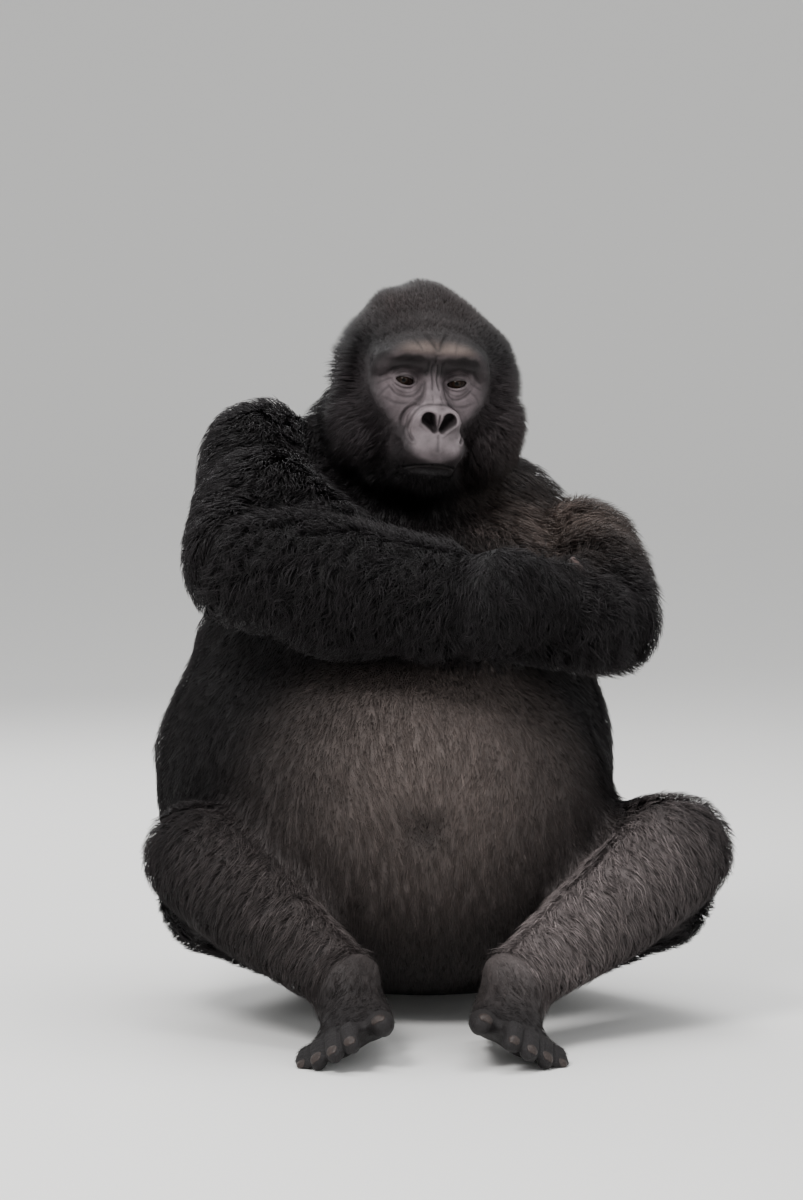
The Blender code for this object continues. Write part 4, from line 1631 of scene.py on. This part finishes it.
class CoatMarking:
    """The colours of the coat over the body, painted sheen and painted shade among them; the skin under it
    takes them too.
    """

    base = (0.0092, 0.0076, 0.0084)
    shoulder = np.array((0.165, 0.130, 0.700))

    def __init__(self, head: HeadFrame) -> None:
        """Keeps the head's frame and finds the places that the marks go by."""
        self.head = head
        low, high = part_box("trunk")
        self.middle = float(low.x + high.x) / 2 + 0.06
        self.belly = np.array((-0.01, float(low.y), 0.385))

    def colour(self, points: Array) -> Array:
        """The coat's colour, with painted sheen on the crown, cheeks, belly, left shoulder and shins and
        painted shade at the navel.

        Args:
            points: world places.

        Returns:
            Red, green and blue over each place, one row each.
        """
        x, y, z = points.T
        colour = np.tile(self.base, (len(points), 1))
        # browner, paler belly hair, lightened further at its middle as painted sheen
        belly = bell(np.linalg.norm((points - self.belly) / (0.86, 1.0, 1.0), axis=1), 0.225)
        belly *= step(0.06, -0.02, y) * step(0.515, 0.485, z)
        mix(colour, 0.95 * belly, (0.142, 0.113, 0.103))
        # painted shade in the navel's dimple
        mix(colour, 0.9 * bell(gap(points, NAVEL), 0.036), (0.014, 0.011, 0.011))
        local = self.head.inside(points)
        # the crown's hair lightened as painted sheen
        crown = 0.6 * step(55, 120, local[:, 2]) * step(60, -10, local[:, 1])
        mix(colour, crown, (0.035, 0.026, 0.025))
        # greyer cheek and jaw hair, lightened partly as painted sheen
        cheek = step(70, 10, local[:, 2]) * step(-100, -60, local[:, 2]) * step(10, -55, local[:, 1])
        mix(colour, 0.75 * cheek, (0.050, 0.041, 0.044))
        # painted brown sheen on the left shoulder
        mix(colour, 0.9 * bell(gap(points, self.shoulder), 0.11), (0.088, 0.066, 0.057))
        saddle = step(0.14, 0.36, y) * step(0.10, 0.34, z) * step(0.86, 0.58, z)
        saddle *= step(0.33, 0.06, np.abs(x - self.middle + 0.04))
        mix(colour, 0.85 * saddle, (0.130, 0.127, 0.129))
        # pale grey hairs across the shins, with painted sheen, far stronger on the left shin
        for side, amount in ((1, 0.85), (-1, 0.2)):
            shin = np.array(((side * 0.285, -0.075, 0.245), (side * 0.135, -0.200, 0.130)))
            mix(colour, amount * bell(line_distance(points, shin), 0.07), (0.205, 0.173, 0.170))
        return colour


class Coat:
    """Tufts of hair over the skin, which follow the lie of the coat and stay as deep as the solids."""

    patch = 0.003             # the width of a tuft's place on the unwrap
    ground_faces = 16000
    roots_in_lock = 11
    curly_from = 3.2          # millimetres of curl past which a tuft bends in three parts
    long_from = 28.5          # millimetres of length from which it bends in two
    fuzz_growth = (7.5, 0.38, 24)       # length, width and stray of the fuzz on the face
    fuzz_depth = 0.0013
    least_depth = (0.0032, 0.0018)      # on the head and elsewhere
    fold_room = 0.006                   # a fold with less room than this stays bare
    spot_radius = 0.0085
    ear_hair, jaw_hair = 6.0, 13        # the length on the ears, and what the fullest jaw hair gains
    ear_edge = 1.02
    pale_share, pale_gain, pale_lift = 0.035, 1.6, 0.012    # the few bleached tufts
    root_sink = 0.0012
    lowest = 0.0006

    def __init__(self, head: HeadFrame, skin: Skin, marking: CoatMarking) -> None:
        """Keeps what the coat grows on.

        Args:
            head: the head's frame.
            skin: the finished skin.
            marking: the coat's colours.
        """
        self.head, self.skin, self.marking = head, skin, marking
        self.random = np.random.default_rng(SEED)
        self.tree = tree_of(skin.obj.data)
        self.material = HairFinish().make()

    def ground(self) -> tuple[Array, Array, Array, Array, Array]:
        """Makes a light copy of the skin, unwraps it and takes it away again.

        Returns:
            Its points, normals, edges, triangles and the place of each triangle's corners on the unwrap.
        """
        clear_selection()
        copy = duplicate(self.skin.obj)
        apply_modifier(copy, "DECIMATE", ratio=self.ground_faces / max(len(copy.data.polygons), 1))
        apply_modifier(copy, "TRIANGULATE")
        activate(copy)
        bpy.ops.object.mode_set(mode="EDIT")
        bpy.ops.mesh.select_all(action="SELECT")
        bpy.ops.uv.smart_project(angle_limit=math.radians(66), island_margin=0.004)
        bpy.ops.object.mode_set(mode="OBJECT")
        mesh = copy.data
        uv = rows_of(mesh.uv_layers.active.uv, "vector", 2)
        made = (points_of(mesh), normals_of(mesh), edges_of(mesh),
                rows_of(mesh.polygons, "vertices", 3, np.int32), uv.reshape(-1, 3, 2).astype(float))
        bpy.data.objects.remove(copy)
        return made

    def growth(self, points: Array, normals: Array, owner: Array) -> Array:
        """The numbers of the coat's growth.

        Args:
            points: world places.
            normals: the normals there.
            owner: the numbers of their solids.

        Returns:
            One row of numbers for each place.
        """
        table = np.array([astuple(GROWTH[name]) for name in FLESH])[owner]
        front = step(0.0, -0.35, normals[:, 1]) * step(0.62, 0.56, points[:, 2]) * is_part(owner, "trunk")
        table += front[:, None] * (np.array(astuple(BELLY)) - table)
        low = step(30, -20, self.head.inside(points)[:, 2]) * is_part(owner, "head")
        table += low[:, None] * (np.array(astuple(CHEEK)) - table)
        return table

    def lie(self, points: Array, owner: Array) -> Array:
        """The way that the hair runs.

        Args:
            points: world places.
            owner: the numbers of their solids.

        Returns:
            The way at each place, at length 1.
        """
        way = np.tile((0.0, 0.15, -1.0), (len(points), 1))
        for name, limb in LIMBS.items():
            way[is_part(owner, name)] = limb.lie()
        trunk, neck = is_part(owner, "trunk"), is_part(owner, "neck")
        outward = points * (1, 0, 0) - np.array((-0.01, 0, 0))
        way[trunk] += 0.9 * outward[trunk] * step(-0.1, 0.2, points[trunk, 1])[:, None]
        to_navel = NAVEL - points
        gather = bell(np.linalg.norm(to_navel, axis=1), 0.12) * step(-0.012, 0.030, -to_navel[:, 2]) * trunk
        way += gather[:, None] * (unit(to_navel) * 2.0 - way)
        way[neck] += 0.5 * unit(outward[neck])
        head = is_part(owner, "head", *EARS)
        local = self.head.inside(points)
        radial = unit((local - np.array((0, -95, 20))) * (1, 0.4, 1))
        radial += np.array((0, 1.15, 0)) + step(45, -35, local[:, 2])[:, None] * np.array((0, -0.3, -1.1))
        way[head] = unit(radial[head]) @ self.head.axes.T
        return unit(way)

    def sow(self) -> dict[str, Array]:
        """Scatters the roots.

        Returns:
            The roots' places, normals, lie, growth, owner, place on the unwrap and depth of the coat.
        """
        points, normals, edges, triangles, uv = self.ground()
        owner = self.skin.owner(points)
        lie = self.lie(points, owner)
        for _ in range(3):
            lie = across(spread(lie, edges, 3), normals)
        growth = spread(self.growth(points, normals, owner), edges, 3)
        first, second, third = (points[triangles[:, i]] for i in range(3))
        area = 0.5 * np.linalg.norm(np.cross(second - first, third - first), axis=1)
        count = area / (growth[triangles, SPACING].mean(axis=1) * MM) ** 2
        count = (count + self.random.random(len(count))).astype(int)
        chosen = np.repeat(np.arange(len(triangles)), count)
        a, b = self.random.random((2, len(chosen)))
        a, b = np.where(a + b > 1, 1 - a, a), np.where(a + b > 1, 1 - b, b)
        weights = np.stack([1 - a - b, a, b], axis=1)[:, :, None]
        corner = triangles[chosen]

        def at_roots(values: Array) -> Array:
            """What each root takes from the corners of its triangle."""
            return (values * weights).sum(axis=1)

        place, face_normal, _ = nearest(self.tree, at_roots(points[corner]))
        closest = corner[np.arange(len(corner)), np.argmax(weights[:, :, 0], axis=1)]
        return self.weed({"place": place, "normal": unit(face_normal + unit(at_roots(normals[corner]))),
                          "lie": unit(at_roots(lie[corner])), "growth": at_roots(growth[corner]),
                          "owner": owner[closest], "uv": at_roots(uv[chosen])})

    def weed(self, roots: dict[str, Array]) -> dict[str, Array]:
        """Takes away roots on bare skin, under the seat and in closed folds, and settles the others.

        Args:
            roots: all the roots, whose growth is changed.

        Returns:
            The roots that stay, with the depth of the coat, and with the fuzz of the face and its tint.
        """
        place, normal, owner = (roots[name] for name in ("place", "normal", "owner"))
        local = self.head.inside(place)
        x, z = np.abs(local[:, 0]), local[:, 2]
        bare = self.skin.face.bare(local)
        open_skin = np.hypot((x - 37) / 1.25, z - 25) < 17    # round the eyes
        open_skin |= (x < 38) & (z < 2) & (z > -93) & (local[:, 1] < -90)
        keep = (bare < self.random.exponential(7.5, len(bare)) - 3.0) & (~open_skin | (bare < 0))
        fuzz = ~keep & ~open_skin & (self.random.random(len(bare)) < 0.26)
        keep |= fuzz
        keep &= place[:, 2] > 0.003
        keep &= ~((normal[:, 2] < -0.75) & (place[:, 2] < 0.05) & (place[:, 1] > -0.12))    # the seat
        room = self.room(place, normal, keep)
        keep &= room > self.fold_room
        for name in FEET:
            front = place[:, 1] < box_of(name)[0][1] + 0.085
            keep &= ~(is_part(owner, name) & (front | (normal[:, 2] < -0.15)))
        keep &= gap(place, BARE_SPOT) > self.spot_radius
        rings = [self.ear_ring(place, side) for side in Side]
        for ring in rings:
            keep &= (ring > self.ear_edge) | (self.random.random(len(ring)) < 0.10)
        roots |= {"local": local, "bare": bare, "fuzz": fuzz, "room": room,
                  "ear": np.minimum(*rings) < self.ear_edge}
        roots["full"] = self.fullness(roots)
        self.trim(roots)
        # the fuzz on the face takes the face's colour, its painted shade and highlights included
        tint = step(0, 14, bare)[:, None]
        face_tint = 1.35 * self.skin.face.colour(local) + 0.006
        roots["tint"] = self.marking.colour(place) * (1 - tint) + face_tint * tint
        roots["depth"] = self.depth(roots)
        return {name: values[keep] for name, values in roots.items()}

    def room(self, place: Array, normal: Array, wanted: Array) -> Array:
        """How much room there is over the skin before more skin.

        Args:
            place: world places on the skin.
            normal: the skin's normals there.
            wanted: which of them to look at.

        Returns:
            The room over each, in metres, and 1 where nothing is near.
        """
        room = np.full(len(place), 1.0)
        for i in np.flatnonzero(wanted):
            hit = self.tree.ray_cast(place[i] + normal[i] * 0.002, normal[i], 0.03)
            if hit[0] is not None:
                room[i] = hit[3]
        return room

    def ear_ring(self, place: Array, side: Side) -> Array:
        """How far out in one ear each place lies: 1 at the ear's edge and 9 away from the ear."""
        near, _, at_ear = self.skin.at_ear(place, side)
        ring = np.full(len(place), 9.0)
        ring[near] = at_ear
        return ring

    def fullness(self, roots: dict[str, Array]) -> Array:
        """Where the hair beside the jaw is fullest, more so on the animal's right.

        Args:
            roots: the roots.

        Returns:
            The fullness at each, from 0 to 1.
        """
        x, y, z = roots["local"].T
        full = (is_part(roots["owner"], "head") * step(-4, -30, roots["bare"]) * step(100, 50, z)
                * step(-125, -80, z) * step(90, 40, y))
        return full * (np.where(x < 0, 1.0, 0.3) * step(20, 50, np.abs(x)))

    def trim(self, roots: dict[str, Array]) -> None:
        """Sets the hair at the edge of the bare skin, on the face, round the navel, on the ears and the jaw.

        Args:
            roots: the roots, whose growth is changed.
        """
        growth, bare = roots["growth"], roots["bare"]
        growth[:, LENGTH] *= 0.22 + 0.78 * step(6, -26, bare)
        growth[:, WIDTH] *= 0.42 + 0.58 * step(8, -16, bare)
        growth[np.ix_(roots["fuzz"], (LENGTH, WIDTH, STRAY))] = self.fuzz_growth
        growth[:, LENGTH] *= 1 - 0.6 * bell(gap(roots["place"], NAVEL), 0.036)
        growth[:, LENGTH] = np.where(roots["ear"], self.ear_hair, growth[:, LENGTH])
        growth[:, LENGTH] += self.jaw_hair * roots["full"]

    def depth(self, roots: dict[str, Array]) -> Array:
        """How deep the coat is at each root, which brings it out to the solids.

        Args:
            roots: the roots.

        Returns:
            The depths, in metres.
        """
        place, owner, head = roots["place"], roots["owner"], is_part(roots["owner"], "head")
        x, z = np.abs(roots["local"][:, 0]), roots["local"][:, 2]
        depth = np.linalg.norm(nearest(self.skin.solids, place)[0] - place, axis=1)
        fuller = depth * (1.0 + 0.45 * step(70, 10, z)) + 0.015 * roots["full"]
        fuller += 0.006 * bell(np.hypot(x - 46, z - 120), 20)    # beside the crest
        depth = np.where(head, fuller, depth)
        depth *= 1 + 0.35 * is_part(owner, "left_upper_arm") * step(0.1, 0.7, roots["normal"][:, 2])
        depth = np.maximum(np.minimum(depth, roots["room"] * 0.8), np.where(head, *self.least_depth))
        return np.where(roots["fuzz"], self.fuzz_depth, depth)

    def comb(self, roots: dict[str, Array], parts: int) -> Array:
        """Lays tufts down along the body.

        Args:
            roots: the roots.
            parts: how many pieces each tuft bends in.

        Returns:
            The middle line of each tuft, one stack of parts + 1 points.
        """
        count, growth = len(roots["place"]), roots["growth"]
        length = growth[:, LENGTH] * MM * self.random.uniform(0.72, 1.22, count)
        rise = roots["depth"] * self.random.uniform(0.62, 0.98, count)
        turn = np.radians(growth[:, STRAY]) * (roots["swirl"] + self.random.normal(0, 0.45, count))
        normal, way = roots["normal"], roots["lie"]
        way = way * np.cos(turn)[:, None] + np.cross(normal, way) * np.sin(turn)[:, None]
        run = np.sqrt(np.maximum(length ** 2 - rise ** 2, (0.45 * length) ** 2))
        phase = self.random.uniform(0, 2 * np.pi, count)
        curl = growth[:, CURL] * MM * self.random.uniform(0.5, 1.4, count)
        ground = roots["place"]
        line = [ground - normal * self.root_sink]
        for part in range(1, parts + 1):
            t = part / parts
            share = t ** 1.25 - ((part - 1) / parts) ** 1.25
            ahead = ground + way * (run * share)[:, None]
            ground, fresh, _ = nearest(self.tree, ahead)
            far = (np.linalg.norm(ahead - ground, axis=1) > 0.6 * run * share)[:, None]
            ground = np.where(far, ahead, ground)
            normal = unit(0.5 * normal + 0.5 * np.where(far, normal, fresh))
            way = across(way, normal)
            wave = curl * np.sin(phase + t * 4.4) * min(1.0, 1.6 * t)
            height = rise * (1 - (1 - t) ** 1.8) + 0.35 * curl * np.cos(phase + t * 3.7) * t
            line.append(ground + normal * np.maximum(height, 0.001)[:, None]
                        + np.cross(normal, way) * wave[:, None])
        return np.stack(line, axis=1)

    def gather(self, roots: dict[str, Array]) -> None:
        """Sorts the roots into locks: each gets its lock's leader, turn and shade."""
        count = len(roots["place"])
        leaders = self.random.choice(count, max(count // self.roots_in_lock, 1), replace=False)
        finder = KDTree(len(leaders))
        for i, leader in enumerate(leaders):
            finder.insert(roots["place"][leader], i)
        finder.balance()
        lock = np.array([finder.find(p)[1] for p in roots["place"]])
        roots["leader"] = leaders[lock]
        roots["swirl"] = self.random.normal(0, 0.8, len(leaders))[lock]
        roots["shade"] = np.exp(self.random.normal(0, 0.16, len(leaders)))[lock]
        roots["number"] = np.arange(count)

    def pull(self, lines: Array, roots: dict[str, Array]) -> Array:
        """Draws the tips of each lock together.

        Args:
            lines: the middle lines of the tufts, which are changed.
            roots: their roots.

        Returns:
            The lines.
        """
        parts = lines.shape[1] - 1
        order = {int(number): i for i, number in enumerate(roots["number"])}
        index = np.array([order.get(int(n), -1) for n in roots["leader"]])
        target = lines[np.maximum(index, 0)]
        for part in range(1, parts + 1):
            away = target[:, part] - lines[:, part]
            share = roots["growth"][:, LOCK] * (part / parts) ** 1.5 * (index >= 0)
            lines[:, part] += away * (share * step(0.030, 0.012, np.linalg.norm(away, axis=1)))[:, None]
        return lines

    def tufts(self, lines: Array, roots: dict[str, Array]) -> tuple[Array, Array, Array, Array]:
        """Three-sided tapered tufts round their middle lines.

        Args:
            lines: the middle lines.
            roots: the roots.

        Returns:
            The points, the place of each on the unwrap, its colour, and the triangles.
        """
        count, rings = lines.shape[0], lines.shape[1] - 1
        width = roots["growth"][:, WIDTH] * MM * self.random.uniform(0.7, 1.25, count)
        colour = self.marking.colour(roots["place"])
        colour *= (roots["shade"] * np.exp(self.random.normal(0, 0.20, count)))[:, None]
        pale = self.random.random(count) < self.pale_share
        colour[pale] = colour[pale] * self.pale_gain + self.pale_lift
        colour[roots["fuzz"]] = roots["tint"][roots["fuzz"]]
        points, uvs, colours = [], [], []
        for ring in range(rings):
            t = ring / rings
            ahead = unit(lines[:, ring + 1] - lines[:, max(ring - 1, 0)])
            side = unit(np.cross(roots["normal"], ahead) + 1e-6)
            up = np.cross(ahead, side)
            radius = 0.5 * width * (0.85 if ring == 0 else 1.0 - 0.55 * t)
            for angle in np.radians((90, 210, 330)):
                points.append(lines[:, ring] + side * (radius * math.cos(angle))[:, None]
                              + up * (0.6 * radius * math.sin(angle))[:, None])
                uvs.append(roots["uv"] + self.patch * np.array((0.45 * math.cos(angle), 0.9 * (t - 0.5))))
                colours.append(colour * (0.62 + 0.55 * t))
        points.append(lines[:, rings])
        uvs.append(roots["uv"] + self.patch * np.array((0.0, 0.45)))
        colours.append(colour * (1.12 if rings == 1 else 1.3))
        tip = 3 * rings
        faces = [(0, 2, 1)]
        for a in range(0, tip - 3, 3):
            for i, j in ((0, 1), (1, 2), (2, 0)):
                faces += [(a + i, a + j, a + 3 + j), (a + i, a + 3 + j, a + 3 + i)]
        faces += [(tip - 3 + i, tip - 3 + j, tip) for i, j in ((0, 1), (1, 2), (2, 0))]
        triangles = np.array(faces)[None] + (np.arange(count) * (tip + 1))[:, None, None]
        made = [np.stack(rows, axis=1).reshape(count * (tip + 1), -1) for rows in (points, uvs, colours)]
        made[0][:, 2] = np.maximum(made[0][:, 2], self.lowest)
        return made[0], np.clip(made[1], 0.001, 0.999), made[2], triangles.reshape(-1, 3)

    def build(self) -> None:
        """Grows the whole coat, one piece for each part of the body."""
        roots = self.sow()
        log.info("roots: %d", len(roots["place"]))
        self.gather(roots)
        front = roots["normal"][:, 1] < 0
        left = roots["place"][:, 0] > NAVEL[0]
        left_of_nose = self.head.inside(roots["place"])[:, 0] > 0
        splits = {"trunk": {"right_belly": front & ~left, "left_belly": front & left,
                            "right_back": ~front & ~left, "left_back": ~front & left},
                  "head": {"right_head": ~left_of_nose, "left_head": left_of_nose}}
        for name, owners in PIECES.items():
            part = is_part(roots["owner"], *owners)
            for share, there in splits.get(name, {name: part}).items():
                chosen = part & there
                self.piece("coat_" + share, {key: values[chosen] for key, values in roots.items()})

    def piece(self, name: str, roots: dict[str, Array]) -> None:
        """Makes one piece of the coat.

        Args:
            name: the piece's name.
            roots: its roots.
        """
        growth = roots["growth"]
        long, curly = growth[:, LENGTH] >= self.long_from, growth[:, CURL] > self.curly_from
        made, start = [], 0
        for parts, chosen in ((1, ~long & ~curly), (2, long & ~curly), (3, curly)):
            if chosen.any():
                some = {key: values[chosen] for key, values in roots.items()}
                points, uvs, colours, faces = self.tufts(self.pull(self.comb(some, parts), some), some)
                made.append((points, uvs, colours, faces + start))
                start += len(points)
        points, uvs, colours, triangles = (np.concatenate(rows) for rows in zip(*made))
        obj = new_piece(name, points, triangles)
        layer = obj.data.uv_layers.new(name="OFBake")
        layer.uv.foreach_set("vector", uvs[triangles.ravel()].astype(np.float32).ravel())
        paint(obj.data, "Marking", colours)
        obj.data.materials.append(self.material)
        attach(obj, "root")
        log.info("%s: %d tufts, %d triangles", name, len(roots["place"]), len(triangles))


# ---------------------------------------------------------------- studio
@dataclass(frozen=True)
class Lamp:
    """A soft square light: where it hangs, its side in metres, its power in watts and its colour."""

    name: str
    place: Triple
    size: float
    power: float
    colour: Triple = (1.0, 1.0, 1.0)

    def hang(self, target: Vector) -> None:
        """Puts the light in the scene.

        Args:
            target: what it looks at.
        """
        lamp = bpy.data.lights.new(self.name, "AREA")
        lamp.size, lamp.energy, lamp.color = self.size, self.power, self.colour
        obj = show(bpy.data.objects.new(self.name, lamp))
        obj.location = self.place
        obj.rotation_euler = (target - Vector(self.place)).to_track_quat("-Z", "Y").to_euler()


LAMPS = (
    Lamp("key", (-1.5, -2.6, 3.2), 1.3, 150, (1.0, 0.99, 0.98)),
    Lamp("fill", (2.4, -2.8, 1.6), 2.4, 40, (0.96, 0.98, 1.0)),
    Lamp("top", (0.3, 0.3, 3.4), 2.0, 80),
    Lamp("back", (-1.2, 2.8, 2.2), 2.0, 60),
)


@dataclass
class Studio:
    """Floor, soft lights, pale surroundings and the camera."""

    target: Triple = (-0.0510, 0.1505, 0.5708)
    lit: Triple = (0, 0, 0.5)
    distance: float = 7.5
    rise: float = 5.0
    lens: float = 160.7
    air: tuple[float, float, float, float] = (0.90, 0.905, 0.91, 1)
    air_strength: float = 0.9

    def floor(self) -> None:
        """A wide pale floor that curves up all round, so that it has no far edge."""
        turn = np.radians(np.arange(0, 90.1, 7.5))
        radii = np.concatenate([[1.5, 4.0, 7.0], 10.0 + 4.0 * np.sin(turn)])
        heights = np.concatenate([[0.0, 0.0, 0.0], 4.0 - 4.0 * np.cos(turn)])
        angles = np.radians(np.arange(0, 360, 4))
        rings = [np.stack([r * np.cos(angles), r * np.sin(angles), np.full(len(angles), h)], axis=1)
                 for r, h in zip(radii, heights)]
        mesh = bpy.data.meshes.new("floor")
        with editing(mesh) as build:
            corners = [build.verts.new(p) for p in np.concatenate([[(0, 0, 0)], *rings])]
            for i, j in enumerate(np.roll(np.arange(len(angles)), -1)):
                build.faces.new((corners[0], corners[1 + i], corners[1 + j]))
                for a in range(1, 1 + (len(radii) - 1) * len(angles), len(angles)):
                    b = a + len(angles)
                    build.faces.new((corners[a + i], corners[b + i], corners[b + j], corners[a + j]))
        mesh.shade_smooth()
        mesh.materials.append(FloorFinish().make())
        show(bpy.data.objects.new("floor", mesh))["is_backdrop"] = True

    def build(self) -> None:
        """Sets everything up."""
        self.floor()
        for lamp in LAMPS:
            lamp.hang(Vector(self.lit))
        world = bpy.data.worlds.new("pale_surroundings")
        world.use_nodes = True
        shade = world.node_tree.nodes["Background"]
        shade.inputs[0].default_value, shade.inputs[1].default_value = self.air, self.air_strength
        bpy.context.scene.world = world
        lens = bpy.data.cameras.new("camera")
        lens.sensor_width, lens.lens = 36.0, self.lens
        camera = show(bpy.data.objects.new("camera", lens))
        rise = math.radians(self.rise)
        back = Vector((0, -math.cos(rise), math.sin(rise)))
        camera.location = Vector(self.target) + back * self.distance
        camera.rotation_euler = (-back).to_track_quat("-Z", "Y").to_euler()
        bpy.context.scene.camera = camera


def main() -> None:
    """Builds every piece in order."""
    logging.basicConfig(level=logging.INFO, format="%(message)s")
    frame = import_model()
    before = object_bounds()
    clear_selection()
    head = HeadFrame()
    skin = Skin(head, frame["nodes"])
    skin.build()
    marking = CoatMarking(head)
    skin.dress(marking.colour)
    wet = EyeFinish().make()
    for side in Side:
        Eye(side).build(wet)
    nails = Nails(skin)
    horn = NailFinish().make()
    for side in Side:
        nails.build(side, horn)
    Coat(head, skin, marking).build()
    Studio().build()
    bpy.context.view_layer.update()
    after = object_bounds()
    {"cad": [list(c) for c in before], "visual": [list(c) for c in after]}


if __name__ == "__main__":
    main()
